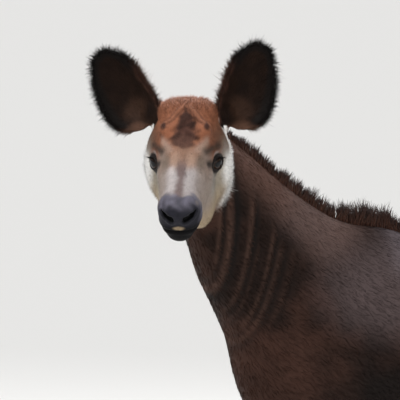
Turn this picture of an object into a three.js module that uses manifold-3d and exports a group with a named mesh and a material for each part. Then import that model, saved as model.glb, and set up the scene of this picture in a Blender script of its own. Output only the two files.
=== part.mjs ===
// A young okapi, life size, standing on four feet with its head turned to its left.
// Lengths are in millimetres. +Z is up, the body faces -Y and its left side is +X.
// Every form is a field: below zero inside, zero on the skin, above zero outside.
import * as THREE from 'three';
import Module from 'manifold-3d';

const wasm = await Module();
wasm.setup();

const GAP = 0.3;
const COLOURS = {
  coat: 0x4a2a20,
  pale: 0xd8cfc4,
  muzzle: 0x2d2b30,
  mane: 0x1a1310,
  eye: 0x120d0b,
  hoof: 0x2a2522,
};

// Small helpers for points held as [x, y, z].
const add = (a, b) => a.map((v, i) => v + b[i]);
const minus = (a, b) => a.map((v, i) => v - b[i]);
const times = (a, k) => a.map((v) => v * k);
const dot = (a, b) => a[0] * b[0] + a[1] * b[1] + a[2] * b[2];
const size = (a) => Math.hypot(a[0], a[1], a[2]);
const unit = (a) => times(a, 1 / size(a));
const clamp = (v, lo, hi) => Math.min(hi, Math.max(lo, v));
const cross = (a, b) => [
  a[1] * b[2] - a[2] * b[1],
  a[2] * b[0] - a[0] * b[2],
  a[0] * b[1] - a[1] * b[0],
];
const radians = (degrees) => (degrees * Math.PI) / 180;
const inFrame = (p, centre, axes) => axes.map((axis) => dot(minus(p, centre), axis));
const outOfFrame = (q, centre, axes) => axes.reduce((sum, axis, i) => add(sum, times(axis, q[i])), centre);

// Join and carve with a soft edge of the given width.
function join(a, b, soft) {
  const share = clamp(0.5 + (0.5 * (b - a)) / soft, 0, 1);
  return b * (1 - share) + a * share - soft * share * (1 - share);
}
const keep = (a, b, soft) => -join(-a, -b, soft);

// A smooth curve for each column of a list of stations, read at any place along it.
function curves(stations) {
  const slopes = stations.map((row, i) => {
    const before = stations[Math.max(i - 1, 0)];
    const after = stations[Math.min(i + 1, stations.length - 1)];
    return row.map((value, c) => (after[c] - before[c]) / (after[0] - before[0]));
  });
  return (place) => {
    const at = clamp(place, stations[0][0], stations[stations.length - 1][0]);
    let i = 0;
    while (i < stations.length - 2 && at > stations[i + 1][0]) i += 1;
    const span = stations[i + 1][0] - stations[i][0];
    const t = (at - stations[i][0]) / span;
    const fromStart = 2 * t ** 3 - 3 * t ** 2 + 1;
    const startSlope = (t ** 3 - 2 * t ** 2 + t) * span;
    const endSlope = (t ** 3 - t ** 2) * span;
    return stations[i].slice(1).map((value, k) => {
      const c = k + 1;
      const ends = fromStart * value + (1 - fromStart) * stations[i + 1][c];
      return ends + startSlope * slopes[i][c] + endSlope * slopes[i + 1][c];
    });
  };
}

// A body built on a row of rounded sections. Each station names the place along the row, the sideways
// shift, the half width, the top, the bottom, and how much narrower the top is than the bottom.
function rowOfSections(stations, squareness, soft) {
  const read = curves(stations);
  const first = stations[0][0];
  const last = stations[stations.length - 1][0];
  const NARROWEST = 0.15;
  return (along, aside, up) => {
    const [shift, half, top, bottom, pinch] = read(along);
    const halfHeight = (top - bottom) / 2;
    const level = (up - (top + bottom) / 2) / halfHeight;
    const width = half * Math.max(1 - pinch * clamp(level, -1, 1), NARROWEST);
    const across = Math.abs(aside - shift) / width;
    const reach = (across ** squareness + Math.abs(level) ** squareness) ** (1 / squareness);
    const wall = (reach - 1) * Math.min(half, halfHeight);
    return keep(wall, Math.abs(along - (first + last) / 2) - (last - first) / 2, soft);
  };
}

function ellipsoid(p, centre, radii, axes) {
  const q = axes ? inFrame(p, centre, axes) : minus(p, centre);
  const near = size(q.map((v, i) => v / radii[i]));
  const steep = size(q.map((v, i) => v / radii[i] ** 2)) + 1e-9;
  return (near * (near - 1)) / steep;
}

function capsule(p, a, b, radiusA, radiusB) {
  const line = minus(b, a);
  const t = clamp(dot(minus(p, a), line) / dot(line, line), 0, 1);
  return size(minus(minus(p, a), times(line, t))) - (radiusA + (radiusB - radiusA) * t);
}

// Trunk: along is toward the tail from a point under the withers, up is the height above the floor.
const trunkSections = rowOfSections([
  [-290, 0, 60, 950, 775, 0.1],
  [-220, 0, 82, 1000, 715, 0.2],
  [-120, 0, 95, 1030, 676, 0.35],
  [0, 0, 101, 1042, 660, 0.48],
  [110, 0, 113, 1027, 657, 0.36],
  [230, 0, 125, 1004, 660, 0.22],
  [350, 0, 126, 992, 677, 0.16],
  [440, 0, 120, 989, 708, 0.2],
  [520, 0, 113, 980, 745, 0.22],
  [590, 0, 96, 946, 785, 0.2],
  [640, 0, 68, 890, 805, 0.1],
], 2.2, 45);

// Neck: along is up a line that leans forward, up is square to it, both measured from the withers.
const WITHERS = [0, 0, 1050];
const NECK_LEAN = radians(38);
const NECK_ALONG = [0, -Math.cos(NECK_LEAN), Math.sin(NECK_LEAN)];
const NECK_UP = [0, Math.sin(NECK_LEAN), Math.cos(NECK_LEAN)];
const neckStations = [
  [-60, 0, 86, -46, -414, 0.3],
  [30, 0, 87, -27, -420, 0.32],
  [120, 0, 84, -54, -400, 0.32],
  [210, 2, 78, -69, -356, 0.3],
  [300, 10, 71, -75, -318, 0.25],
  [380, 22, 65, -78, -274, 0.2],
  [460, 36, 60, -87, -240, 0.1],
  [540, 50, 51, -104, -220, 0],
];
const neckSections = rowOfSections(neckStations, 2.2, 30);
const neckAxis = curves(neckStations);

// Head: along is toward the nose, aside is toward the left ear, up is toward the crown.
const EYE_LINE = [141.6, -533.9, 1213];
const HEAD_TURN = radians(58);
const HEAD_DROP = radians(18);
const HEAD_FORWARD = [
  Math.sin(HEAD_TURN) * Math.cos(HEAD_DROP),
  -Math.cos(HEAD_TURN) * Math.cos(HEAD_DROP),
  -Math.sin(HEAD_DROP),
];
const HEAD_LEFT = [Math.cos(HEAD_TURN), Math.sin(HEAD_TURN), 0];
const HEAD_AXES = [HEAD_FORWARD, HEAD_LEFT, cross(HEAD_FORWARD, HEAD_LEFT)];
const headSections = rowOfSections([
  [-142, 0, 44, 52, -40, 0],
  [-120, 0, 56, 76, -84, 0.05],
  [-90, 0, 66, 92, -108, 0.05],
  [-55, 0, 64, 95, -117, 0],
  [-20, 0, 56, 84, -117, -0.1],
  [15, 0, 51, 62, -109, -0.2],
  [50, 0, 45, 44, -96, -0.22],
  [90, 0, 41, 29, -83, -0.15],
  [125, 0, 35, 18, -74, -0.05],
  [158, 0, 30, 11, -72, 0],
  [185, 0, 26, 5, -65, 0],
  [200, 0, 19, -4, -47, 0],
], 2.5, 26);

// How softly the parts run into each other.
const SOFT = { neck: 50, leg: 35, head: 26, ear: 16, eye: 10, tail: 8 };

// Eyes, nostrils and the softer forms of the face, in the head's own axes and on its left side.
const EYE = { centre: [-3, 44, 1], radius: 18.5, look: unit([0.58, 0.81, 0.06]), lid: 3.5 };
const EYE_OPENING = { ahead: 2, radii: [17, 12, 12] };
const NOSTRIL = { centre: [190, 19, -14], radii: [13, 7, 5], slant: unit([0.35, -0.6, -0.72]) };
const FACE_FORMS = [
  { centre: [-48, 43, 6], radii: [50, 28, 38], soft: 16 },
  { centre: [-64, 43, -36], radii: [42, 32, 58], soft: 22 },
  { centre: [5, 26, -78], radii: [72, 24, 32], soft: 18 },
  { centre: [-6, 33, 60], radii: [18, 14, 13], soft: 12 },
  { centre: [158, 0, -15], radii: [43, 38, 29], soft: 12 },
  { centre: [150, 14, -34], radii: [36, 21, 21], soft: 12 },
  { centre: [156, 0, -59], radii: [33, 19, 14], soft: 10 },
  { centre: [-66, 28, 69], radii: [30, 20, 20], soft: 14 },
];

function head(p) {
  const [along, aside, up] = inFrame(p, EYE_LINE, HEAD_AXES);
  const q = [along, Math.abs(aside), up];
  let d = headSections(along, aside, up);
  for (const form of FACE_FORMS) d = join(d, ellipsoid(q, form.centre, form.radii), form.soft);
  d = join(d, size(minus(q, EYE.centre)) - EYE.radius - EYE.lid, SOFT.eye);
  for (const side of [1, -1]) d = join(d, earRoot(p, side), SOFT.ear);
  return d;
}

// Ears: along is from root to tip, across is outward, deep is out of the cup toward the front.
// Each station names the place along, the inner and the outer edge, and the depth of the cup.
const EAR_STATIONS = [
  [-16, -2, 30, 4],
  [0, -18, 56, 14],
  [20, -28, 73, 24],
  [45, -33, 77, 28],
  [75, -39, 70, 26],
  [100, -38, 57, 20],
  [122, -30, 41, 13],
  [140, -18, 25, 6],
  [151, -4, 9, 2],
];
const readEar = curves(EAR_STATIONS);
const EAR_THICKNESS = 6;
const EAR_ROOT = { centre: [-2, 0, -24], radii: [30, 26, 19] };
const EAR_FACING = { turn: radians(62), rise: radians(5) };
const EARS = {
  1: { root: [-78, 63, 60], lean: radians(29) },
  [-1]: { root: [-78, -62, 65], lean: radians(43) },
};
const EAR_TIP_BACK = radians(12);
const EAR_CUP_OUT = radians(8);

function earAxes(side) {
  const { turn, rise } = EAR_FACING;
  const ahead = [Math.sin(turn) * Math.cos(rise), -Math.cos(turn) * Math.cos(rise), Math.sin(rise)];
  const right = [Math.cos(turn), Math.sin(turn), 0];
  const upward = cross(ahead, right);
  const lean = EARS[side].lean;
  const tipward = add(times(right, side * Math.sin(lean)), times(upward, Math.cos(lean)));
  const outward = add(times(right, side * Math.cos(lean)), times(upward, -Math.sin(lean)));
  const along = add(times(tipward, Math.cos(EAR_TIP_BACK)), times(ahead, -Math.sin(EAR_TIP_BACK)));
  const deep = add(times(ahead, Math.cos(EAR_TIP_BACK)), times(tipward, Math.sin(EAR_TIP_BACK)));
  const across = add(times(outward, Math.cos(EAR_CUP_OUT)), times(deep, -Math.sin(EAR_CUP_OUT)));
  const mouth = add(times(deep, Math.cos(EAR_CUP_OUT)), times(outward, Math.sin(EAR_CUP_OUT)));
  return [along, across, mouth];
}

const earPlace = (side) => outOfFrame(EARS[side].root, EYE_LINE, HEAD_AXES);

function earRoot(p, side) {
  const axes = earAxes(side);
  return ellipsoid(p, outOfFrame(EAR_ROOT.centre, earPlace(side), axes), EAR_ROOT.radii, axes);
}

// Legs: along is the height, aside is the half distance between a pair, and the top and bottom of each
// section are its back and its front.
const foreSections = rowOfSections([
  [40, 82, 26, 8, -44, 0],
  [70, 82, 21, 10, -34, 0],
  [95, 82, 20, 22, -22, 0],
  [120, 82, 23, 31, -17, 0],
  [150, 82, 20, 27, -15, 0],
  [200, 82, 17, 24, -14, 0],
  [280, 82, 17.5, 25, -16, 0],
  [330, 82, 24, 27, -24, 0],
  [365, 82, 27, 28, -30, 0],
  [400, 82, 24, 28, -24, 0],
  [460, 83, 25, 32, -22, 0],
  [540, 84, 30, 42, -25, 0],
  [620, 85, 37, 60, -32, 0],
  [690, 86, 42, 82, -58, 0],
  [770, 84, 42, 84, -100, 0],
  [880, 72, 26, 60, -90, 0],
], 2.2, 12);
const hindSections = rowOfSections([
  [40, 84, 26, 564, 512, 0],
  [70, 84, 21, 572, 526, 0],
  [100, 84, 20, 586, 540, 0],
  [135, 84, 23, 602, 552, 0],
  [170, 84, 19, 600, 558, 0],
  [250, 84, 17, 602, 562, 0],
  [350, 84, 18, 608, 564, 0],
  [400, 84, 23, 618, 562, 0],
  [440, 84, 25, 630, 560, 0],
  [470, 84, 23, 626, 548, 0],
  [520, 85, 26, 606, 514, 0],
  [580, 87, 31, 602, 476, 0],
  [650, 88, 40, 614, 436, 0],
  [720, 88, 50, 632, 408, 0],
  [800, 84, 54, 646, 415, 0],
  [900, 66, 40, 630, 450, 0],
], 2.2, 12);
const HIP_HEIGHT = 620;
const LEGS = [
  { name: 'foreleg_left', side: 1, stride: -30, sections: foreSections, split: 322, toe: -18, aside: 82 },
  { name: 'foreleg_right', side: -1, stride: 40, sections: foreSections, split: 322, toe: -18, aside: 82 },
  { name: 'hindleg_left', side: 1, stride: 30, sections: hindSections, split: 385, toe: 538, aside: 84 },
  { name: 'hindleg_right', side: -1, stride: -40, sections: hindSections, split: 385, toe: 538, aside: 84 },
];

function leg(p, { side, stride, sections }) {
  const share = clamp((HIP_HEIGHT - p[2]) / HIP_HEIGHT, 0, 1);
  return sections(p[2], p[0] * side, p[1] - stride * share);
}

const BODY_FORMS = [
  { centre: [62, -50, 830], radii: [42, 95, 150], soft: 60 },
  { centre: [58, 545, 830], radii: [54, 92, 120], soft: 60 },
  { centre: [0, -256, 815], radii: [62, 82, 104], soft: 50 },
];
const TAIL_LINE = [
  { at: [0, 590, 930], radius: 20 },
  { at: [0, 652, 890], radius: 15 },
  { at: [0, 676, 820], radius: 10.5 },
  { at: [0, 682, 730], radius: 8.5 },
  { at: [0, 684, 700], radius: 10 },
  { at: [0, 684, 640], radius: 15 },
  { at: [0, 682, 575], radius: 6 },
];

function tail(p) {
  let d = Infinity;
  for (let i = 0; i + 1 < TAIL_LINE.length; i += 1) {
    const a = TAIL_LINE[i];
    const b = TAIL_LINE[i + 1];
    const piece = capsule(p, a.at, b.at, a.radius, b.radius);
    d = i === 0 ? piece : join(d, piece, SOFT.tail);
  }
  return d;
}

function neck(p) {
  const q = minus(p, WITHERS);
  return neckSections(dot(q, NECK_ALONG), q[0], dot(q, NECK_UP));
}

function trunk(p) {
  let d = trunkSections(p[1], p[0], p[2]);
  const q = [Math.abs(p[0]), p[1], p[2]];
  for (const form of BODY_FORMS) d = join(d, ellipsoid(q, form.centre, form.radii), form.soft);
  return d;
}

function body(p) {
  let d = join(trunk(p), neck(p), SOFT.neck);
  for (const one of LEGS) d = join(d, leg(p, one), SOFT.leg);
  return join(d, head(p), SOFT.head);
}

// The surface of a field inside a box, as four-sided faces laid on it, closed all round.
function surface(field, low, high, cell) {
  const count = [0, 1, 2].map((k) => Math.ceil((high[k] - low[k]) / cell[k]) + 1);
  const index = (i, j, k) => (i * count[1] + j) * count[2] + k;
  const place = (i, j, k) => [low[0] + i * cell[0], low[1] + j * cell[1], low[2] + k * cell[2]];
  const values = new Float64Array(count[0] * count[1] * count[2]);
  const edge = (n, axis) => n === 0 || n === count[axis] - 1;
  for (let i = 0; i < count[0]; i += 1) {
    for (let j = 0; j < count[1]; j += 1) {
      for (let k = 0; k < count[2]; k += 1) {
        const outer = edge(i, 0) || edge(j, 1) || edge(k, 2);
        const value = field(place(i, j, k));
        values[index(i, j, k)] = outer ? Math.max(value, 1) : value;
      }
    }
  }
  const points = [];
  const cellPoint = new Map();
  const corners = [0, 1, 2, 3, 4, 5, 6, 7].map((n) => [n >> 2, (n >> 1) & 1, n & 1]);
  for (let i = 0; i + 1 < count[0]; i += 1) {
    for (let j = 0; j + 1 < count[1]; j += 1) {
      for (let k = 0; k + 1 < count[2]; k += 1) {
        const levels = corners.map((c) => values[index(i + c[0], j + c[1], k + c[2])]);
        const inside = levels.filter((v) => v < 0).length;
        if (inside === 0 || inside === corners.length) continue;
        let sum = [0, 0, 0];
        let crossings = 0;
        for (let a = 0; a < corners.length; a += 1) {
          for (const step of [1, 2, 4]) {
            const b = a | step;
            if (b === a || levels[a] < 0 === levels[b] < 0) continue;
            const t = levels[a] / (levels[a] - levels[b]);
            sum = add(sum, add(times(corners[a], 1 - t), times(corners[b], t)));
            crossings += 1;
          }
        }
        cellPoint.set(index(i, j, k), points.length);
        points.push(add(place(i, j, k), times(sum, 1 / crossings).map((v, n) => v * cell[n])));
      }
    }
  }
  const settled = points.map((p) => settle(field, p, cell));
  const faces = [];
  for (let i = 0; i + 1 < count[0]; i += 1) {
    for (let j = 0; j + 1 < count[1]; j += 1) {
      for (let k = 0; k + 1 < count[2]; k += 1) {
        const here = values[index(i, j, k)];
        const around = [
          [values[index(i + 1, j, k)], [0, 1, 0], [0, 0, 1]],
          [values[index(i, j + 1, k)], [0, 0, 1], [1, 0, 0]],
          [values[index(i, j, k + 1)], [1, 0, 0], [0, 1, 0]],
        ];
        for (const [there, u, v] of around) {
          if (here < 0 === there < 0) continue;
          const pick = (a, b) => {
            const c = [i, j, k].map((n, axis) => n - a * u[axis] - b * v[axis]);
            return cellPoint.get(index(...c));
          };
          const ring = [pick(1, 1), pick(0, 1), pick(0, 0), pick(1, 0)];
          if (here >= 0) ring.reverse();
          faces.push(...splitFace(settled, ring));
        }
      }
    }
  }
  return solid(settled, faces);
}

// Slides a point onto the skin, never farther than a cell.
function settle(field, start, cell) {
  const STEPS = 4;
  const PROBE = 0.5;
  let p = start;
  for (let n = 0; n < STEPS; n += 1) {
    const slope = slopeOf(field, p, PROBE);
    const strength = Math.max(dot(slope, slope), 1e-6);
    const move = times(slope, -field(p) / strength);
    const limit = Math.min(...cell) / 3;
    p = add(p, times(move, Math.min(1, limit / Math.max(size(move), 1e-9))));
  }
  return p;
}

function slopeOf(field, p, probe) {
  return [0, 1, 2].map((k) => {
    const step = [0, 0, 0];
    step[k] = probe;
    return (field(add(p, step)) - field(minus(p, step))) / (2 * probe);
  });
}

// Splits a four-sided face along its shorter diagonal.
function splitFace(points, [a, b, c, d]) {
  const first = size(minus(points[a], points[c]));
  const second = size(minus(points[b], points[d]));
  return first <= second ? [[a, b, c], [a, c, d]] : [[a, b, d], [b, c, d]];
}

function solid(points, faces) {
  const mesh = new wasm.Mesh({
    numProp: 3,
    vertProperties: Float32Array.from(points.flat()),
    triVerts: Uint32Array.from(faces.flat()),
  });
  return new wasm.Manifold(mesh);
}

// A closed solid through a row of rings with the same number of points, with flat ends.
function skinOver(rings) {
  const n = rings[0].length;
  const points = rings.flat();
  const faces = [];
  for (let i = 0; i + 1 < rings.length; i += 1) {
    for (let j = 0; j < n; j += 1) {
      const next = (j + 1) % n;
      faces.push(...splitFace(points, [i * n + j, i * n + next, (i + 1) * n + next, (i + 1) * n + j]));
    }
  }
  for (const [start, flip] of [[0, true], [(rings.length - 1) * n, false]]) {
    const middle = points.length;
    const ring = points.slice(start, start + n);
    points.push(times(ring.reduce(add, [0, 0, 0]), 1 / n));
    for (let j = 0; j < n; j += 1) {
      const face = [start + j, start + ((j + 1) % n), middle];
      faces.push(flip ? face.reverse() : face);
    }
  }
  const made = solid(points, faces);
  return made.volume() > 0 ? made : solid(points, faces.map((face) => [...face].reverse()));
}

// A ball drawn out along three axes.
function ball(centre, radii, axes, steps) {
  const rings = [];
  for (let i = 1; i < steps; i += 1) {
    const level = (Math.PI * i) / steps;
    const ring = [];
    for (let j = 0; j < 2 * steps; j += 1) {
      const turn = (Math.PI * j) / steps;
      const around = [Math.sin(level) * Math.cos(turn), Math.sin(level) * Math.sin(turn), Math.cos(level)];
      ring.push(outOfFrame(around.map((v, k) => v * radii[k]), centre, axes));
    }
    rings.push(ring);
  }
  return skinOver(rings);
}

// The half space beyond a plane, as one large box, to cut with.
const FAR = 4000;
function beyond(point, direction) {
  const frame = new THREE.Matrix4().lookAt(
    new THREE.Vector3(...direction), new THREE.Vector3(0, 0, 0), new THREE.Vector3(0.01, 0.02, 1).normalize(),
  );
  const box = new THREE.BoxGeometry(FAR, FAR, FAR).toNonIndexed();
  box.translate(0, 0, FAR / 2);
  box.applyMatrix4(frame);
  box.translate(...point);
  return fromGeometry(box);
}

function fromGeometry(geometry) {
  const position = geometry.getAttribute('position');
  const points = [];
  const known = new Map();
  const order = [];
  for (let i = 0; i < position.count; i += 1) {
    const p = [position.getX(i), position.getY(i), position.getZ(i)];
    const key = p.map((v) => Math.round(v * 100)).join(',');
    if (!known.has(key)) {
      known.set(key, points.length);
      points.push(p);
    }
    order.push(known.get(key));
  }
  const faces = [];
  for (let i = 0; i < order.length; i += 3) faces.push(order.slice(i, i + 3));
  return solid(points, faces);
}

// Two parts of a solid on either side of a plane, with the gap between them.
function cutAt(whole, point, direction) {
  const aim = unit(direction);
  const front = whole.intersect(beyond(add(point, times(aim, GAP / 2)), aim));
  const back = whole.intersect(beyond(add(point, times(aim, -GAP / 2)), times(aim, -1)));
  return [front, back];
}

// The same solid with its skin moved outward by the gap.
function grown(made, field, by) {
  const { points, faces } = listed(made);
  return solid(points.map((p) => add(p, times(unit(slopeOf(field, p, 0.5)), by))), faces);
}

// The whole is laid out region by region, each with faces to suit its size.
const HEAD_CELL = [17, 17, 17];
const NECK_CELL = [34, 38, 38];
const TRUNK_CELL = [38, 54, 45];
const UPPER_LEG_CELL = [18, 20, 40];
const LOWER_LEG_CELL = [13, 14.5, 41];
const TAIL_CELL = [12, 12, 36];
const OVERLAP = 45;

const HEAD_CUTS = [
  { point: [-104, 0, 0], direction: [0.997, 0, 0.075] },
  { point: [-80, 0, -122], direction: [0.12, 0, 0.99] },
];
const TRUNK_TO_NECK = { point: [0, -120, 900], direction: NECK_ALONG };
const HEAD_TO_MUZZLE = { along: 132, tilt: [0.97, 0, 0.2] };
const LEG_TOP = 644;
const HOOF_TOP = 48;
const TUFT_TOP = 705;

const parts = {};

const headWhole = surface(body, [-60, -760, 1000], [340, -340, 1420], HEAD_CELL);
const headPoint = (q) => outOfFrame(q, EYE_LINE, HEAD_AXES);
const headAim = (q) => unit(outOfFrame(q, [0, 0, 0], HEAD_AXES));
const headRegion = (margin) => HEAD_CUTS.map(({ point, direction }) => {
  const aim = headAim(direction);
  return beyond(add(headPoint(point), times(aim, -margin)), aim);
}).reduce((a, b) => a.intersect(b));
const headFront = largest(headWhole.intersect(headRegion(-GAP / 2)));
const headGrown = grown(headWhole, body, GAP);

const neckWhole = surface(body, [-190, -620, 640], [210, 60, 1420], NECK_CELL);
const neckBack = neckWhole.subtract(headRegion(GAP / 2));
const [neckFront] = cutAt(neckBack, TRUNK_TO_NECK.point, TRUNK_TO_NECK.direction);

const trunkWhole = surface(body, [-210, -400, LEG_TOP - OVERLAP], [210, 740, 1180], TRUNK_CELL);
const [, trunkBack] = cutAt(trunkWhole, TRUNK_TO_NECK.point, TRUNK_TO_NECK.direction);
const bodyGrown = grown(trunkWhole, body, GAP);

// Head with its sockets and nostrils.
const sided = (q, side) => [q[0], q[1] * side, q[2]];
let headShape = headFront;
for (const side of [1, -1]) {
  const centre = headPoint(sided(EYE.centre, side));
  const look = headAim(sided(EYE.look, side));
  const level = unit(cross(look, HEAD_AXES[2]));
  const eyeAxes = [level, cross(level, look), look];
  const ball3 = (radius) => [radius, radius, radius];
  const eye = ball(centre, ball3(EYE.radius), eyeAxes, 7);
  const socket = ball(centre, ball3(EYE.radius + GAP * 2), eyeAxes, 7);
  const openingAt = add(centre, times(look, EYE.radius + EYE_OPENING.ahead));
  const opening = ball(openingAt, EYE_OPENING.radii, eyeAxes, 6);
  const slant = headAim(sided(NOSTRIL.slant, side));
  const nostrilSide = unit(cross(slant, HEAD_AXES[2]));
  const nostrilAxes = [slant, nostrilSide, cross(slant, nostrilSide)];
  const nostril = ball(headPoint(sided(NOSTRIL.centre, side)), NOSTRIL.radii, nostrilAxes, 5);
  headShape = headShape.subtract(opening).subtract(socket).subtract(nostril);
  parts[side > 0 ? 'eye_left' : 'eye_right'] = { shape: eye, colour: COLOURS.eye };
}
const muzzlePlane = headPoint([HEAD_TO_MUZZLE.along, 0, -30]);
const [muzzleShape, skullShape] = cutAt(headShape, muzzlePlane, headAim(HEAD_TO_MUZZLE.tilt));
parts.head = { shape: skullShape, colour: COLOURS.coat };
parts.muzzle = { shape: muzzleShape, colour: COLOURS.muzzle };

// Ears as cups of even thickness.
const EAR_ROWS = 9;
const EAR_COLUMNS = 6;
for (const side of [1, -1]) {
  const axes = earAxes(side);
  const start = EAR_STATIONS[0][0];
  const length = EAR_STATIONS[EAR_STATIONS.length - 1][0] - start;
  const rings = [];
  for (let i = 0; i <= EAR_ROWS; i += 1) {
    const along = start + (length * i) / EAR_ROWS;
    const [inner, outer, depth] = readEar(along);
    const middle = (inner + outer) / 2;
    const half = (outer - inner) / 2;
    const sheet = (offset) => {
      const row = [];
      for (let j = 0; j <= EAR_COLUMNS; j += 1) {
        const t = (2 * j) / EAR_COLUMNS - 1;
        const lean = (2 * depth * t) / half;
        const turn = Math.hypot(1, lean);
        const base = [along, middle + t * half, -depth * (1 - t * t)];
        const point = add(base, [0, (-lean / turn) * offset, offset / turn]);
        row.push(outOfFrame(point, earPlace(side), axes));
      }
      return row;
    };
    rings.push([...sheet(EAR_THICKNESS / 2), ...sheet(-EAR_THICKNESS / 2).reverse()]);
  }
  const cup = skinOver(rings).subtract(headGrown);
  parts[side > 0 ? 'ear_left' : 'ear_right'] = { shape: cup, colour: COLOURS.coat };
}

// Mane: a low ridge along the crest of the neck, from behind the ears to the middle of the back.
const MANE = { from: -395, to: 330, rows: 11, buried: 14, baseHalf: 13, topHalf: 5, shoulder: 0.6 };
const maneHeight = curves([
  [-395, 9],
  [-347, 13],
  [-283, 16],
  [-208, 20],
  [-129, 33],
  [-40, 29],
  [60, 21],
  [200, 13],
  [330, 4],
]);

// Where the midline of the back lies at a distance toward the tail, found by walking up to the skin.
const CREST = { turn: 150, startBelow: 110, walk: 260, steps: 30 };
function crest(y) {
  const upness = clamp((y + CREST.turn) / CREST.turn, 0, 1);
  const up = unit(add(times(NECK_UP, 1 - upness), times([0, 0, 1], upness)));
  const forward = Math.max(-y, 0);
  const x = y < 0 ? neckAxis(forward / Math.cos(NECK_LEAN))[0] : 0;
  const start = [x, y, WITHERS[2] + forward * Math.tan(NECK_LEAN) - CREST.startBelow];
  let low = 0;
  let high = CREST.walk;
  for (let n = 0; n < CREST.steps; n += 1) {
    const middle = (low + high) / 2;
    if (body(add(start, times(up, middle))) < 0) low = middle;
    else high = middle;
  }
  return { point: add(start, times(up, low)), up };
}

const maneRings = [];
for (let i = 0; i <= MANE.rows; i += 1) {
  const y = MANE.from + ((MANE.to - MANE.from) * i) / MANE.rows;
  const { point, up } = crest(y);
  const [height] = maneHeight(y);
  const at = (aside, above) => add(add(point, [aside, 0, 0]), times(up, above));
  maneRings.push([
    at(-MANE.baseHalf, -MANE.buried),
    at(-MANE.baseHalf, 0),
    at(-(MANE.baseHalf + MANE.topHalf) / 2, height * MANE.shoulder),
    at(-MANE.topHalf, height),
    at(MANE.topHalf, height),
    at((MANE.baseHalf + MANE.topHalf) / 2, height * MANE.shoulder),
    at(MANE.baseHalf, 0),
    at(MANE.baseHalf, -MANE.buried),
  ]);
}
const neckGrown = grown(neckWhole, body, GAP);
const ridge = skinOver(maneRings).subtract(neckGrown).subtract(bodyGrown).subtract(headGrown);
parts.mane = { shape: largest(ridge), colour: COLOURS.mane };

function largest(made) {
  return made.decompose().sort((a, b) => b.volume() - a.volume())[0];
}

// Tail and its tuft.
const tailWhole = surface(tail, [-30, 560, 555], [30, 745, 965], TAIL_CELL).subtract(bodyGrown);
const [tailUpper, tuft] = cutAt(tailWhole, [0, 0, TUFT_TOP], [0, 0, 1]);
parts.tail = { shape: largest(tailUpper), colour: COLOURS.coat };
parts.tail_tuft = { shape: largest(tuft), colour: COLOURS.mane };

const [trunkAbove] = cutAt(trunkBack, [0, 0, LEG_TOP], [0, 0, 1]);
parts.trunk = { shape: largest(trunkAbove), colour: COLOURS.coat };
parts.neck = { shape: largest(neckFront), colour: COLOURS.coat };

// Legs, each with an upper and a lower part and two claws on flat soles.
const CLAW = {
  half: 12.5,
  halfTop: 11.3,
  apart: 0.6,
  heel: 30,
  heelTop: 26,
  toe: 46,
  toeTop: 22,
  squareness: 0.6,
  levels: [0, 0.4, 1],
  steps: 6,
};
for (const one of LEGS) {
  const legField = (p) => (p[0] * one.side > 5 ? body(p) : 1);
  const middleY = one.toe + one.stride;
  const low = [one.side > 0 ? 20 : -150, middleY - 150, HOOF_TOP - 30];
  const high = [one.side > 0 ? 150 : -20, middleY + 160, LEG_TOP + OVERLAP];
  const splitLow = [low[0], low[1], one.split - OVERLAP];
  const splitHigh = [high[0], high[1], one.split + OVERLAP];
  const upperWhole = surface(legField, splitLow, high, UPPER_LEG_CELL);
  const lowerWhole = surface(legField, low, splitHigh, LOWER_LEG_CELL);
  const [, belowTop] = cutAt(upperWhole, [0, 0, LEG_TOP], [0, 0, 1]);
  const [upper] = cutAt(belowTop, [0, 0, one.split], [0, 0, 1]);
  const [, lower] = cutAt(lowerWhole, [0, 0, one.split], [0, 0, 1]);
  const [lowerShape] = cutAt(lower, [0, 0, HOOF_TOP], [0, 0, 1]);
  parts[`${one.name}_upper`] = { shape: largest(upper), colour: COLOURS.coat };
  parts[`${one.name}_lower`] = { shape: largest(lowerShape), colour: COLOURS.pale };
  for (const which of [1, -1]) {
    const label = which * one.side > 0 ? 'outer' : 'inner';
    const rings = CLAW.levels.map((t) => {
      const toe = CLAW.toe + (CLAW.toeTop - CLAW.toe) * t;
      const heel = CLAW.heel + (CLAW.heelTop - CLAW.heel) * t;
      const half = CLAW.half + (CLAW.halfTop - CLAW.half) * t;
      const ring = [];
      for (let j = 0; j < 2 * CLAW.steps; j += 1) {
        const turn = (Math.PI * j) / CLAW.steps;
        const lengthways = Math.cos(turn);
        const y = lengthways > 0 ? heel * lengthways : toe * lengthways;
        const across = half * Math.sign(Math.sin(turn)) * Math.abs(Math.sin(turn)) ** CLAW.squareness;
        const x = one.side * one.aside + which * (CLAW.half + CLAW.apart) + across;
        ring.push([x, one.toe + one.stride + y, (HOOF_TOP - GAP) * t]);
      }
      return ring;
    });
    parts[`${one.name}_claw_${label}`] = { shape: skinOver(rings), colour: COLOURS.hoof };
  }
}

// The corners and faces of a solid, as plain lists.
function listed(made) {
  const mesh = made.getMesh();
  const points = [];
  const faces = [];
  for (let i = 0; i < mesh.vertProperties.length; i += mesh.numProp) {
    points.push(Array.from(mesh.vertProperties.slice(i, i + 3)));
  }
  for (let i = 0; i < mesh.triVerts.length; i += 3) faces.push(Array.from(mesh.triVerts.slice(i, i + 3)));
  return { points, faces };
}

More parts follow.
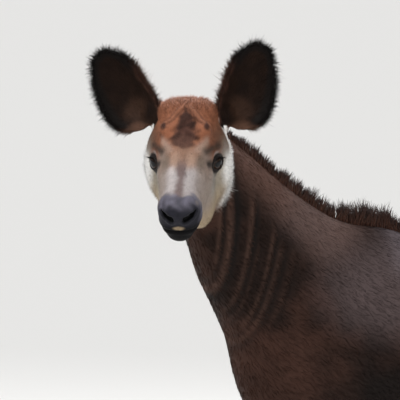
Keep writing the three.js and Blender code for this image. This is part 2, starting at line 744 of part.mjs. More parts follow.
// Draws together corners that cuts left almost touching, and drops the slivers between them.
// Where two corners share one place, each moves into its own side, so no edge is shared by four faces.
const NEAR = 0.25;
const STEP_APART = 0.05;
function tidied(made) {
  const { points, faces } = listed(made);
  const leader = points.map((p, i) => i);
  const find = (i) => {
    let n = i;
    while (leader[n] !== n) n = leader[n];
    return n;
  };
  for (const face of faces) {
    for (let n = 0; n < 3; n += 1) {
      const a = find(face[n]);
      const b = find(face[(n + 1) % 3]);
      if (a !== b && size(minus(points[a], points[b])) < NEAR) leader[b] = a;
    }
  }
  const drawn = faces.map((face) => face.map(find));
  const whole = drawn.filter(([a, b, c]) => a !== b && b !== c && c !== a);
  const result = listed(solid(points, whole));
  const outward = result.points.map(() => [0, 0, 0]);
  for (const [a, b, c] of result.faces) {
    const ab = minus(result.points[b], result.points[a]);
    const ac = minus(result.points[c], result.points[a]);
    for (const i of [a, b, c]) outward[i] = add(outward[i], cross(ab, ac));
  }
  const places = new Map();
  result.points.forEach((p, i) => {
    const key = p.map((v) => Math.round(v * 1000)).join(',');
    places.set(key, [...(places.get(key) ?? []), i]);
  });
  for (const group of places.values()) {
    if (group.length < 2) continue;
    for (const i of group) result.points[i] = add(result.points[i], times(unit(outward[i]), -STEP_APART));
  }
  return result;
}

// The model stands with its box centred over the origin.
const okapi = new THREE.Group();
okapi.name = 'okapi';
const low = [Infinity, Infinity];
const high = [-Infinity, -Infinity];
for (const { shape } of Object.values(parts)) {
  const box = shape.boundingBox();
  for (const k of [0, 1]) {
    low[k] = Math.min(low[k], box.min[k]);
    high[k] = Math.max(high[k], box.max[k]);
  }
}
const shift = [-(low[0] + high[0]) / 2, -(low[1] + high[1]) / 2];
let triangles = 0;
for (const [name, { shape, colour }] of Object.entries(parts)) {
  const { points, faces } = tidied(shape);
  const geometry = new THREE.BufferGeometry();
  geometry.setAttribute('position', new THREE.BufferAttribute(Float32Array.from(points.flat()), 3));
  geometry.setIndex(new THREE.BufferAttribute(Uint32Array.from(faces.flat()), 1));
  geometry.translate(shift[0], shift[1], 0);
  geometry.computeVertexNormals();
  const node = new THREE.Mesh(geometry, new THREE.MeshStandardMaterial({ color: colour }));
  node.name = name;
  okapi.add(node);
  triangles += faces.length;
}
console.log('triangles', triangles);

export default okapi;
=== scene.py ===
"""A young okapi as a life-size museum figure, with its floor, light and camera.

Shapes are worked out in millimetres, with the body facing -Y, its left side toward +X and +Z up. Every form
is a field: below zero inside, zero on the surface, above zero outside. Meshes are made in metres.
"""

import bpy
import numpy as np
from mathutils import Matrix, Vector
from mathutils.kdtree import KDTree


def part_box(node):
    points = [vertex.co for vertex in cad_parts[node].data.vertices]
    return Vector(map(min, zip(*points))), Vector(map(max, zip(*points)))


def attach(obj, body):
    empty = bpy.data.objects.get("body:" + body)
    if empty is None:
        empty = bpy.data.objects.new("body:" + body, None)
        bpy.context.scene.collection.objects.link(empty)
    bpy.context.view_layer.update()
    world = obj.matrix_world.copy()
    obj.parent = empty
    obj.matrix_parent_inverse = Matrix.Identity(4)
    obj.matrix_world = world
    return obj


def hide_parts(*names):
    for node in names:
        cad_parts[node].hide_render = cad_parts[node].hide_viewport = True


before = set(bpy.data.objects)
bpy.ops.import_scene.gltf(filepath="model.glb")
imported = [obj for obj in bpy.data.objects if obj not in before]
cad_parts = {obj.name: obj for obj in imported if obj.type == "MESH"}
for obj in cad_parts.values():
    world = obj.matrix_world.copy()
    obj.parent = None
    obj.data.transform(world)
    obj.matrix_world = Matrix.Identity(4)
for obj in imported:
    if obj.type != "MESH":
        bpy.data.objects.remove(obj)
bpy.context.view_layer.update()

METRE = 0.001
CURVE_STEPS = 400
RANDOM = np.random.default_rng(7)


def unit(v):
    v = np.asarray(v, float)
    return v / np.maximum(np.linalg.norm(v, axis=-1, keepdims=True), 1e-9)


def ramp(value, low, high):
    """Rises smoothly from 0 at low to 1 at high. low may be the larger one."""
    t = np.clip((value - low) / (high - low), 0, 1)
    return t * t * (3 - 2 * t)


def bell(value, width):
    """One where value is zero, falling off on both sides over width."""
    return np.exp(-(value / width) ** 2)


def join(a, b, soft):
    """Two forms as one, with the corner between them filled over soft."""
    share = np.clip(0.5 + 0.5 * (b - a) / soft, 0, 1)
    return b * (1 - share) + a * share - soft * share * (1 - share)


def keep(a, b, soft):
    """What two forms have in common, its edge rounded over soft."""
    return -join(-a, -b, soft)


def curves(stations):
    """Smooth columns over the first one, read at fine steps."""
    rows = np.array(stations, float)
    place = rows[:, 0]
    fine = np.linspace(place[0], place[-1], CURVE_STEPS)
    i = np.clip(np.searchsorted(place, fine, side="right") - 1, 0, len(place) - 2)
    span = place[i + 1] - place[i]
    t = (fine - place[i]) / span
    from_start = 2 * t**3 - 3 * t**2 + 1
    columns = []
    for column in rows[:, 1:].T:
        ends = np.concatenate([[0], np.arange(len(place)), [len(place) - 1]])
        slope = (column[ends[2:]] - column[ends[:-2]]) / (place[ends[2:]] - place[ends[:-2]])
        value = from_start * column[i] + (1 - from_start) * column[i + 1]
        value += (t**3 - 2 * t**2 + t) * span * slope[i] + (t**3 - t**2) * span * slope[i + 1]
        columns.append(value)
    return fine, columns


def row_of_sections(table, along, aside, up, squareness, soft):
    """A body on a row of rounded sections: shift, half width, top, bottom and pinch of the top."""
    narrowest = 0.15
    place, columns = table
    shift, half, top, bottom, pinch = (np.interp(along, place, column) for column in columns)
    half_height = (top - bottom) / 2
    level = (up - (top + bottom) / 2) / half_height
    width = half * np.maximum(1 - pinch * np.clip(level, -1, 1), narrowest)
    across = np.abs(aside - shift) / width
    reach = (across**squareness + np.abs(level) ** squareness) ** (1 / squareness)
    wall = (reach - 1) * np.minimum(half, half_height)
    middle = (place[0] + place[-1]) / 2
    return keep(wall, np.abs(along - middle) - (place[-1] - place[0]) / 2, soft)


def ellipsoid(points, centre, radii):
    q = points - np.asarray(centre, float)
    radii = np.asarray(radii, float)
    near = np.linalg.norm(q / radii, axis=1)
    steep = np.linalg.norm(q / radii**2, axis=1) + 1e-9
    return near * (near - 1) / steep


def capsule(points, a, b, radius_a, radius_b):
    a = np.asarray(a, float)
    line = np.asarray(b, float) - a
    t = np.clip((points - a) @ line / (line @ line), 0, 1)
    return np.linalg.norm(points - a - t[:, None] * line, axis=1) - (radius_a + (radius_b - radius_a) * t)


# How square the sections are, an ellipse being 2, and how softly each part is joined to the rest.
HEAD_SQUARENESS = 2.5
BODY_SQUARENESS = 2.2
SOFT = {"neck": 50, "leg": 35, "head": 26, "tail": 14, "ear": 9, "ear_root": 16, "lids": 10}

# Trunk: stations run toward the tail from under the withers. Shift, half width, top, bottom, pinch.
TRUNK = curves([
    (-290, 0, 60, 950, 775, 0.1),
    (-220, 0, 82, 1000, 715, 0.2),
    (-120, 0, 95, 1030, 676, 0.35),
    (0, 0, 101, 1042, 660, 0.48),
    (110, 0, 113, 1027, 657, 0.36),
    (230, 0, 125, 1004, 660, 0.22),
    (350, 0, 126, 992, 677, 0.16),
    (440, 0, 120, 989, 708, 0.2),
    (520, 0, 113, 980, 745, 0.22),
    (590, 0, 96, 946, 785, 0.2),
    (640, 0, 68, 890, 805, 0.1),
])

# Neck: stations run up a line that leans forward from the withers.
WITHERS = np.array([0, 0, 1050.0])
NECK_LEAN = np.radians(38)
NECK_ALONG = np.array([0, -np.cos(NECK_LEAN), np.sin(NECK_LEAN)])
NECK_UP = np.array([0, np.sin(NECK_LEAN), np.cos(NECK_LEAN)])
NECK = curves([
    (-60, 0, 86, -46, -414, 0.3),
    (30, 0, 87, -27, -420, 0.32),
    (120, 0, 84, -54, -400, 0.32),
    (210, 2, 78, -69, -356, 0.3),
    (300, 10, 71, -75, -318, 0.25),
    (380, 22, 65, -78, -274, 0.2),
    (460, 36, 60, -87, -240, 0.1),
    (540, 50, 51, -104, -220, 0),
])

# Head: stations run from the poll to the nose, measured from between the eyes.
EYE_LINE = np.array([141.6, -533.9, 1213.0])
HEAD_TURN = np.radians(58)
HEAD_DROP = np.radians(18)
HEAD_FORWARD = np.array([
    np.sin(HEAD_TURN) * np.cos(HEAD_DROP),
    -np.cos(HEAD_TURN) * np.cos(HEAD_DROP),
    -np.sin(HEAD_DROP),
])
HEAD_LEFT = np.array([np.cos(HEAD_TURN), np.sin(HEAD_TURN), 0])
HEAD_AXES = np.array([HEAD_FORWARD, HEAD_LEFT, np.cross(HEAD_FORWARD, HEAD_LEFT)])
HEAD = curves([
    (-142, 0, 44, 52, -40, 0),
    (-120, 0, 56, 76, -84, 0.05),
    (-90, 0, 66, 92, -108, 0.05),
    (-55, 0, 64, 95, -117, 0),
    (-20, 0, 56, 84, -117, -0.1),
    (15, 0, 51, 62, -109, -0.2),
    (50, 0, 45, 44, -96, -0.22),
    (90, 0, 41, 29, -83, -0.15),
    (125, 0, 35, 18, -74, -0.05),
    (158, 0, 30, 11, -72, 0),
    (185, 0, 26, 5, -65, 0),
    (200, 0, 19, -4, -47, 0),
])

# The left eye, in the head's own frame: forward, left and up. The right one mirrors it.
EYE_CENTRE = np.array([-3, 44, 1.0])
EYE_RADIUS = 18.5
EYE_LOOK = unit([0.58, 0.81, 0.06])
LID = 3.5
LID_SINK = 1.2

# Rounded forms on each side of the face: centre, radii, and how softly each is joined on.
FACE_FORMS = [
    ((-48, 43, 6), (50, 28, 38), 16),
    ((-64, 43, -36), (42, 32, 58), 22),
    ((5, 26, -78), (72, 24, 32), 18),
    ((-6, 33, 60), (18, 14, 13), 12),
    ((158, 0, -15), (43, 38, 29), 12),
    ((150, 14, -34), (36, 21, 21), 12),
    ((156, 0, -59), (33, 19, 14), 10),
    ((-66, 28, 69), (30, 20, 20), 14),
]

# Ears: stations run from root to tip. Inner edge, outer edge, depth of the cup.
EAR_ROOT_END = -16
EAR_TIP = 151
EAR = curves([
    (EAR_ROOT_END, -2, 30, 4),
    (0, -18, 56, 14),
    (20, -28, 73, 24),
    (45, -33, 77, 28),
    (75, -39, 70, 26),
    (100, -38, 57, 20),
    (122, -30, 41, 13),
    (140, -18, 25, 6),
    (EAR_TIP, -4, 9, 2),
])
EAR_ROOT = ((-2, 0, -24), (30, 26, 19))
EAR_THICKNESS = 5.2
EAR_FRINGE = 6.5
EAR_PLACE = {1: (-78, 63, 60), -1: (-78, -62, 65)}
EAR_LEAN = {1: np.radians(29), -1: np.radians(43)}
EAR_TIP_BACK = np.radians(12)
EAR_CUP_OUT = np.radians(8)

# The camera's direction from the head. The cups of the ears are turned toward it.
VIEW_TURN = np.radians(62)
VIEW_RISE = np.radians(5)

# Legs: stations run up from the hoof. Half distance between a pair, half width, back, front, pinch.
FORELEG = curves([
    (40, 82, 26, 8, -44, 0),
    (70, 82, 21, 10, -34, 0),
    (95, 82, 20, 22, -22, 0),
    (120, 82, 23, 31, -17, 0),
    (150, 82, 20, 27, -15, 0),
    (200, 82, 17, 24, -14, 0),
    (280, 82, 17.5, 25, -16, 0),
    (330, 82, 24, 27, -24, 0),
    (365, 82, 27, 28, -30, 0),
    (400, 82, 24, 28, -24, 0),
    (460, 83, 25, 32, -22, 0),
    (540, 84, 30, 42, -25, 0),
    (620, 85, 37, 60, -32, 0),
    (690, 86, 42, 82, -58, 0),
    (770, 84, 42, 84, -100, 0),
    (880, 72, 26, 60, -90, 0),
])
HINDLEG = curves([
    (40, 84, 26, 564, 512, 0),
    (70, 84, 21, 572, 526, 0),
    (100, 84, 20, 586, 540, 0),
    (135, 84, 23, 602, 552, 0),
    (170, 84, 19, 600, 558, 0),
    (250, 84, 17, 602, 562, 0),
    (350, 84, 18, 608, 564, 0),
    (400, 84, 23, 618, 562, 0),
    (440, 84, 25, 630, 560, 0),
    (470, 84, 23, 626, 548, 0),
    (520, 85, 26, 606, 514, 0),
    (580, 87, 31, 602, 476, 0),
    (650, 88, 40, 614, 436, 0),
    (720, 88, 50, 632, 408, 0),
    (800, 84, 54, 646, 415, 0),
    (900, 66, 40, 630, 450, 0),
])
HIP_HEIGHT = 620
LEGS = {
    "foreleg_left": {"table": FORELEG, "side": 1, "stride": -30, "aside": 82, "toe": -18},
    "foreleg_right": {"table": FORELEG, "side": -1, "stride": 40, "aside": 82, "toe": -18},
    "hindleg_left": {"table": HINDLEG, "side": 1, "stride": 30, "aside": 84, "toe": 538},
    "hindleg_right": {"table": HINDLEG, "side": -1, "stride": -40, "aside": 84, "toe": 538},
}

# Shoulders, thighs and breast: centre, radii, and how softly each is joined on.
BODY_FORMS = [
    ((62, -50, 830), (42, 95, 150), 60),
    ((58, 545, 830), (54, 92, 120), 60),
    ((0, -256, 815), (62, 82, 104), 50),
]

# The tail's line, each place with its radius.
TAIL_LINE = [
    ((0, 590, 930), 20),
    ((0, 652, 890), 15),
    ((0, 676, 820), 10.5),
    ((0, 682, 730), 8.5),
    ((0, 684, 640), 6),
]
HOOF_TOP = 48

# How far from between the eyes the tips of the ears lie, and the rest of the head.
HEAD_REACH = 420
FACE_REACH = 330


def by_head(points, reach=HEAD_REACH):
    return np.linalg.norm(points - EYE_LINE, axis=1) < reach


def in_head(points):
    return (points - EYE_LINE) @ HEAD_AXES.T


def from_head(q):
    return np.asarray(q, float) @ HEAD_AXES + EYE_LINE


def mirrored(q):
    return q * [1, 0, 1] + np.abs(q) * [0, 1, 0]


def view_axes():
    """Toward the camera, to its right, and up in its picture."""
    ahead = np.array([
        np.sin(VIEW_TURN) * np.cos(VIEW_RISE),
        -np.cos(VIEW_TURN) * np.cos(VIEW_RISE),
        np.sin(VIEW_RISE),
    ])
    right = np.array([np.cos(VIEW_TURN), np.sin(VIEW_TURN), 0])
    return ahead, right, np.cross(ahead, right)


def ear_axes(side):
    ahead, right, upward = view_axes()
    lean = EAR_LEAN[side]
    tipward = side * np.sin(lean) * right + np.cos(lean) * upward
    outward = side * np.cos(lean) * right - np.sin(lean) * upward
    along = tipward * np.cos(EAR_TIP_BACK) - ahead * np.sin(EAR_TIP_BACK)
    deep = ahead * np.cos(EAR_TIP_BACK) + tipward * np.sin(EAR_TIP_BACK)
    across = outward * np.cos(EAR_CUP_OUT) - deep * np.sin(EAR_CUP_OUT)
    mouth = deep * np.cos(EAR_CUP_OUT) + outward * np.sin(EAR_CUP_OUT)
    return np.array([along, across, mouth])


def in_ear(points, side):
    return (points - from_head(EAR_PLACE[side])) @ ear_axes(side).T


def ear_section(along):
    place, columns = EAR
    inner, outer, depth = (np.interp(along, place, column) for column in columns)
    return (inner + outer) / 2, (outer - inner) / 2, depth


def ear_margin(along, t, half, rim):
    """How far past the ear's edge a place is, the outline being drawn in by rim."""
    edge = (np.abs(t) - 1) * np.minimum(half, 40) + rim
    ends = np.maximum(EAR_ROOT_END - along, along - EAR_TIP) + rim
    return keep(edge, ends, 6)


def ear(points, side, thickness, rim):
    """A cup of even thickness, its outline drawn in by rim, on a rounded root."""
    q = in_ear(points, side)
    middle, half, depth = ear_section(q[:, 0])
    t = (q[:, 1] - middle) / half
    floor = -depth * (1 - np.clip(t, -1.3, 1.3) ** 2)
    lean = 2 * depth * np.clip(t, -1.2, 1.2) / half
    _, further_half, further_depth = ear_section(q[:, 0] + 1)
    narrowing = half - further_half
    steep = (depth - further_depth) * (1 - np.clip(t, -1, 1) ** 2) + lean * np.abs(t) * narrowing
    sheet = np.abs(q[:, 2] - floor) / np.sqrt(1 + lean**2 + steep**2) - thickness / 2
    return keep(sheet, ear_margin(q[:, 0], t, half, rim), 2.5)


def ear_root(points, side):
    return ellipsoid(in_ear(points, side), *EAR_ROOT)


def lens(u, v, half_length, rise, fall):
    """A slit with pointed ends, like an eye's opening: distance past its edge."""
    upper = (half_length**2 + rise**2) / (2 * rise)
    lower = (half_length**2 + fall**2) / (2 * fall)
    below_arc = np.hypot(u, v + upper - rise) - upper
    above_arc = np.hypot(u, v - lower + fall) - lower
    return keep(below_arc, above_arc, 1.5)


def eye_axes():
    level = unit(np.cross(EYE_LOOK, [0, 0, 1]))
    return np.array([level, np.cross(level, EYE_LOOK), EYE_LOOK])


EYE_OPENING = {"half_length": 16.5, "rise": 10.5, "fall": 9.0}


def eye_opening(q):
    """How far a point of the head, on its left side, lies outside the eye's opening."""
    e = (q - EYE_CENTRE) @ eye_axes().T
    return lens(e[:, 0], e[:, 1], **EYE_OPENING), e[:, 2]


NOSTRIL_LINE = [((184, 27, -11), 2.2), ((190, 20, -17), 4.2), ((196, 12, -22), 5.6)]


def nostril(q):
    (a, ra), (b, rb), (c, rc) = NOSTRIL_LINE
    return join(capsule(q, a, b, ra, rb), capsule(q, b, c, rb, rc), 4)


def head(points):
    h = in_head(points)
    q = mirrored(h)
    d = row_of_sections(HEAD, *h.T, HEAD_SQUARENESS, 26)
    for centre, radii, soft in FACE_FORMS:
        d = join(d, ellipsoid(q, centre, radii), soft)
    d = join(d, np.linalg.norm(q - EYE_CENTRE, axis=1) - EYE_RADIUS - LID + LID_SINK, SOFT["lids"])
    for side in (1, -1):
        d = join(d, ear_root(points, side), SOFT["ear_root"])
    return d


def in_neck(points):
    """Places along the neck's line from the withers, to its left, and up from it."""
    q = points - WITHERS
    return q @ NECK_ALONG, q[:, 0], q @ NECK_UP


def neck(points):
    return row_of_sections(NECK, *in_neck(points), BODY_SQUARENESS, 30)


def trunk(points):
    d = row_of_sections(TRUNK, points[:, 1], points[:, 0], points[:, 2], BODY_SQUARENESS, 45)
    q = np.abs(points) * [1, 0, 0] + points * [0, 1, 1]
    for centre, radii, soft in BODY_FORMS:
        d = join(d, ellipsoid(q, centre, radii), soft)
    return d


def leg(points, table, side, stride, **_):
    share = np.clip((HIP_HEIGHT - points[:, 2]) / HIP_HEIGHT, 0, 1)
    y = points[:, 1] - stride * share
    return row_of_sections(table, points[:, 2], points[:, 0] * side, y, BODY_SQUARENESS, 12)


def tail(points):
    d = None
    for (a, radius_a), (b, radius_b) in zip(TAIL_LINE[:-1], TAIL_LINE[1:]):
        piece = capsule(points, a, b, radius_a, radius_b)
        d = piece if d is None else join(d, piece, 8)
    return d


# The coat's depth on the body, and how much less there is of it elsewhere.
BODY_COAT = 3.6
THINNER = {"face": 1.9, "muzzle": 1.3, "feet": 1.8}


def outline(points):
    """The animal out to the tips of its coat, without its tail and the cups of its ears."""
    d = join(trunk(points), neck(points), SOFT["neck"])
    for one in LEGS.values():
        d = join(d, leg(points, **one), SOFT["leg"])
    return join(d, head(points), SOFT["head"])


def coat_depth(points):
    """How far the skin lies inside the outline: thin on the face and feet."""
    h = in_head(points)
    face = ramp(h[:, 0], -110, -60) * ramp(np.linalg.norm(h, axis=1), 290, 240)
    muzzle = ramp(h[:, 0], 100, 140) * face
    feet = ramp(points[:, 2], 420, 300)
    return BODY_COAT - THINNER["face"] * face - THINNER["muzzle"] * muzzle - THINNER["feet"] * feet


def skin(points):
    """The skin under the coat, with sockets and nostrils."""
    d = outline(points) + coat_depth(points)
    d = join(d, tail(points), SOFT["tail"])
    near = by_head(points)
    if near.any():
        p = points[near]
        q = mirrored(in_head(p))
        part = d[near]
        for side in (1, -1):
            part = join(part, ear(p, side, EAR_THICKNESS, EAR_FRINGE), SOFT["ear"])
        opening, front = eye_opening(q)
        part = keep(part, -keep(opening, 4 - front, 1), 1.2)
        part = keep(part, -nostril(q), 3)
        d[near] = part
    return keep(d, HOOF_TOP - 4 - points[:, 2], 2)


def slope_of(field, points, probe=0.4):
    slope = np.empty_like(points)
    for k in range(3):
        step = np.zeros(3)
        step[k] = probe
        slope[:, k] = (field(points + step) - field(points - step)) / (2 * probe)
    return slope


def settle(field, points, steps=2, limit=2.5):
    """Slides points onto the surface of a field."""
    for _ in range(steps):
        slope = slope_of(field, points)
        strength = np.maximum((slope * slope).sum(1), 1e-6)
        move = -(field(points) / strength)[:, None] * slope
        length = np.linalg.norm(move, axis=1, keepdims=True)
        points = points + move * np.minimum(1, limit / np.maximum(length, 1e-9))
    return points


def graded(low, high, fine_low, fine_high, fine, coarse):
    """Grid lines that are close together between fine_low and fine_high, and wider beyond."""
    growth = 1.18
    lines = list(np.arange(fine_low, fine_high + fine, fine))
    step = fine
    while lines[-1] < high:
        step = min(step * growth, coarse)
        lines.append(lines[-1] + step)
    step = fine
    while lines[0] > low:
        step = min(step * growth, coarse)
        lines.insert(0, lines[0] - step)
    return np.array(lines)


def in_lots(field, points, lot=250000):
    return np.concatenate([field(points[i:i + lot]) for i in range(0, len(points), lot)])


def surface(field, lines, block=4, reach=3.2):
    """Points and four-sided faces on a field's surface, in a grid with uneven lines.

    The field is read once in each block of grid points, and at every point only near the surface.
    """
    shape = [len(line) for line in lines]
    blocks = [np.arange(0, n, block) for n in shape]
    middles = [lines[k][np.minimum(blocks[k] + block // 2, shape[k] - 1)] for k in range(3)]
    centre = np.stack(np.meshgrid(*middles, indexing="ij"), -1)
    coarse = in_lots(field, centre.reshape(-1, 3)).reshape(centre.shape[:3])
    widths = [np.gradient(middle) for middle in middles]
    width = np.sqrt(sum(w**2 for w in np.meshgrid(*widths, indexing="ij")))
    near = np.abs(coarse) < reach / np.sqrt(3) * width

    def spread(grid):
        for k in range(3):
            grid = np.repeat(grid, block, axis=k)
        return grid[:shape[0], :shape[1], :shape[2]]

    values = spread(coarse).astype(np.float32)
    wanted = spread(near)
    index = np.argwhere(wanted)
    places = np.stack([lines[k][index[:, k]] for k in range(3)], 1)
    values[wanted] = in_lots(field, places)
    inside = values < 0
    corners = [(i, j, k) for i in (0, 1) for j in (0, 1) for k in (0, 1)]
    small = [n - 1 for n in shape]
    count = np.zeros(small, np.int8)
    for i, j, k in corners:
        count += inside[i:i + small[0], j:j + small[1], k:k + small[2]]
    crossed = (count > 0) & (count < 8)
    cells = np.argwhere(crossed)
    number = np.full(small, -1, np.int64)
    number[crossed] = np.arange(len(cells))
    total = np.zeros((len(cells), 3))
    crossings = np.zeros(len(cells))
    for a in corners:
        for axis in range(3):
            if a[axis]:
                continue
            b = tuple(1 if k == axis else a[k] for k in range(3))
            value_a = values[tuple(cells[:, k] + a[k] for k in range(3))]
            value_b = values[tuple(cells[:, k] + b[k] for k in range(3))]
            cross = (value_a < 0) != (value_b < 0)
            t = value_a[cross] / (value_a[cross] - value_b[cross])
            total[cross] += np.array(a) + t[:, None] * (np.array(b) - np.array(a))
            crossings[cross] += 1
    share = total / crossings[:, None]
    points = np.empty_like(share)
    for k in range(3):
        start = lines[k][cells[:, k]]
        points[:, k] = start + share[:, k] * (lines[k][cells[:, k] + 1] - start)
    faces = []
    for axis in range(3):
        before = [slice(None)] * 3
        after = [slice(None)] * 3
        before[axis] = slice(0, -1)
        after[axis] = slice(1, None)
        edge = np.argwhere(inside[tuple(before)] != inside[tuple(after)])
        u, v = (axis + 1) % 3, (axis + 2) % 3
        edge = edge[(edge[:, u] > 0) & (edge[:, v] > 0) & (edge[:, u] < small[u]) & (edge[:, v] < small[v])]
        ring = []
        for du, dv in ((1, 1), (0, 1), (0, 0), (1, 0)):
            cell = edge.copy()
            cell[:, u] -= du
            cell[:, v] -= dv
            ring.append(number[tuple(cell.T)])
        face = np.stack(ring, 1)
        outward = inside[tuple(edge.T)]
        face[~outward] = face[~outward][:, ::-1]
        faces.append(face)
    return points, np.concatenate(faces)


# The CAD frame is centred on its own box, and the eyes show by how much.
eye_middles = []
for node in ("eye_left", "eye_right"):
    low, high = (np.array(corner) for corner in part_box(node))
    eye_middles.append((low + high) / 2 / METRE)
expected = from_head(EYE_CENTRE * [1, 0, 1])
SHIFT = np.mean(eye_middles, axis=0) - expected
SHIFT[2] = 0


def to_metres(points):
    return (np.asarray(points, float) + SHIFT) * METRE


def placed(name, data):
    made = bpy.data.objects.new(name, data)
    bpy.context.scene.collection.objects.link(made)
    return made


def mesh_object(name, points, faces, colours=None):
    """A smooth mesh from arrays: points in millimetres, faces all with the same number of corners."""
    faces = np.asarray(faces)
    mesh = bpy.data.meshes.new(name)
    corners = faces.shape[1]
    mesh.vertices.add(len(points))
    mesh.vertices.foreach_set("co", to_metres(points).astype(np.float32).ravel())
    mesh.loops.add(faces.size)
    mesh.loops.foreach_set("vertex_index", faces.astype(np.int32).ravel())
    mesh.polygons.add(len(faces))
    mesh.polygons.foreach_set("loop_start", np.arange(0, faces.size, corners, dtype=np.int32))
    mesh.polygons.foreach_set("loop_total", np.full(len(faces), corners, dtype=np.int32))
    mesh.polygons.foreach_set("use_smooth", np.full(len(faces), True))
    mesh.update(calc_edges=True)
    if colours is not None:
        layer = mesh.color_attributes.new("Tint", "FLOAT_COLOR", "POINT")
        with_alpha = np.concatenate([np.clip(colours, 0, 1), np.ones((len(points), 1))], 1)
        layer.data.foreach_set("color", with_alpha.astype(np.float32).ravel())
    return placed(name, mesh)


def fit_out(piece, material, nodes=()):
    """Gives a piece its material and its body, and hides the CAD nodes that it stands for."""
    piece.data.materials.append(material)
    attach(piece, "root")
    if nodes:
        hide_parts(*nodes)


# Colours, as the light they reflect: the body's, then the ears', the face's, the hair's and the eyes'.
CHOCOLATE = (0.018, 0.0094, 0.0069)
NEAR_BLACK = (0.007, 0.0055, 0.005)
REDDISH = (0.08, 0.036, 0.025)
NECK_TOP_LIT_BROWN = (0.135, 0.074, 0.058)
NECK_SHEEN_GREY = (0.135, 0.098, 0.092)
FOLD_RIDGE_HIGHLIGHT = (0.105, 0.056, 0.041)
SHOULDER_SHEEN_GREY = (0.1, 0.073, 0.072)
BACK_SHEEN_GREY = (0.15, 0.125, 0.138)
LEG_CREAM = (0.68, 0.6, 0.5)
WHITE = (0.93, 0.91, 0.88)
EAR_BROWN = (0.013, 0.0062, 0.0038)
EAR_LOBE = (0.09, 0.045, 0.028)
EAR_BASE = (0.1, 0.05, 0.032)
RUFOUS = (0.252, 0.098, 0.053)
TEMPLE_BROWN = (0.125, 0.064, 0.042)
OLIVE = (0.15, 0.1, 0.07)
BRIDGE_GREY = (0.36, 0.32, 0.312)
CHEEK_GREY = (0.37, 0.335, 0.3)
BROW_TAN = (0.31, 0.245, 0.205)
MIDDLE_TAN = (0.27, 0.16, 0.112)
LIGHT_TAN = (0.4, 0.27, 0.2)
PALE_STRIP = (0.62, 0.56, 0.55)
NOSE_LINE = (0.135, 0.088, 0.082)
PLUM = np.array([0.046, 0.021, 0.016])
KITE_BROWN = (0.118, 0.058, 0.042)
LIT_RIDGE_RUFOUS = (0.33, 0.14, 0.08)
BROW_SPOT = (0.5, 0.395, 0.32)
SMOKE = (0.042, 0.032, 0.026)
EYE_CORNER = (0.165, 0.128, 0.1)
LID_GREY = (0.3, 0.285, 0.27)
STREAK_DARK = (0.022, 0.017, 0.015)
POUCH_DARK = (0.024, 0.019, 0.017)
POUCH_GREY = (0.165, 0.148, 0.125)
CHEEK_SPOT = (0.3, 0.255, 0.19)
JAW_TAN = (0.4, 0.305, 0.2)
CHIN_TAN = (0.33, 0.24, 0.15)
SLATE = np.array([0.105, 0.098, 0.124])
NOSE_DARK = (0.013, 0.013, 0.018)
LIP_DARK = (0.0045, 0.004, 0.0042)
LIP_SPOT = (0.38, 0.285, 0.18)
LID_EDGE = (0.018, 0.014, 0.013)
NOSTRIL_SHADE = (0.004, 0.004, 0.004)
MANE_BROWN = (0.105, 0.046, 0.03)
MANE_BLACK = (0.006, 0.005, 0.006)
TUFT_DARK = np.array([0.02, 0.013, 0.011])
LASH_DARK = (0.012, 0.01, 0.01)
EYE_EDGE = (0.045, 0.032, 0.027)
IRIS_BROWN = (0.03, 0.015, 0.008)
PUPIL_BLACK = (0.004, 0.004, 0.005)


def wobble(points, scale, turn=0.0):
    """A smooth uneven number between -1 and 1 at each point."""
    q = points / scale
    x = np.sin(1.3 * q[:, 0] + 2.1 * np.sin(0.7 * q[:, 1] + turn))
    y = np.sin(1.1 * q[:, 1] + 1.7 * np.sin(0.9 * q[:, 2] + 2 * turn))
    z = np.sin(1.2 * q[:, 2] + 1.9 * np.sin(0.8 * q[:, 0] + 3 * turn))
    return (x + y + z) / 3


def paint(base, mask, colour):
    """Lays a colour over the ones there, as strongly as mask says at each point."""
    base += mask[:, None] * (np.asarray(colour) - base)


def patch(q, centre, radii, hardness=1.0):
    """One inside an ellipsoid, fading to zero past it."""
    away = np.linalg.norm((q - np.asarray(centre, float)) / np.asarray(radii, float), axis=1)
    return 1 - ramp(away, 1 - 0.45 * hardness, 1 + 0.45 * hardness)


def head_share(points):
    """One on the head, zero on the neck behind the jaw and the poll."""
    share = np.zeros(len(points))
    near = by_head(points, FACE_REACH)
    p = points[near]
    share[near] = ramp(neck(p) - head(p), -7, 5) * ramp(in_head(p)[:, 0], -135, -115)
    return share


def ear_facts(points, side):
    """Whether a point is on the cup, how far along and across it is, and whether it is on the inside."""
    q = in_ear(points, side)
    middle, half, depth = ear_section(q[:, 0])
    t = (q[:, 1] - middle) / half
    floor = -depth * (1 - np.clip(t, -1, 1) ** 2)
    above_floor = q[:, 2] - floor
    near_sheet = (above_floor > -12) & (above_floor < 30)
    on_cup = near_sheet & (np.abs(t) < 1.25) & (q[:, 0] > EAR_ROOT_END - 6) & (q[:, 0] < EAR_TIP + 10)
    on_cup &= (ear(points, side, EAR_THICKNESS, EAR_FRINGE) < 4) | ((above_floor > 0) & (np.abs(t) < 0.95))
    return on_cup, q[:, 0], t, above_floor > 0, ear_margin(q[:, 0], t, half, EAR_FRINGE)


# Where the muzzle's bare skin starts along the head at each height, and the height of the lips in front.
MUZZLE_EDGE_UP = [-75, -48, -28, -5, 8, 14]
MUZZLE_EDGE_AT = [150, 132, 140, 162, 167, 177]
MOUTH_FRONT = -47.0

# The forehead's dark kite: its half width at places along the head. The ridges start at its narrow end.
FOREHEAD_AT = [-40, -17, 2, 19, 33, 45]
FOREHEAD_HALF = [1, 11, 19, 22, 15, 3]
RIDGE_SLOPE = 0.86
RIDGE_START = -45


def mouth_height(s):
    """Where the lips meet, for a place along the head."""
    return MOUTH_FRONT + 5 * ramp(s, 185, 130) + 4 * ramp(s, 150, 118)


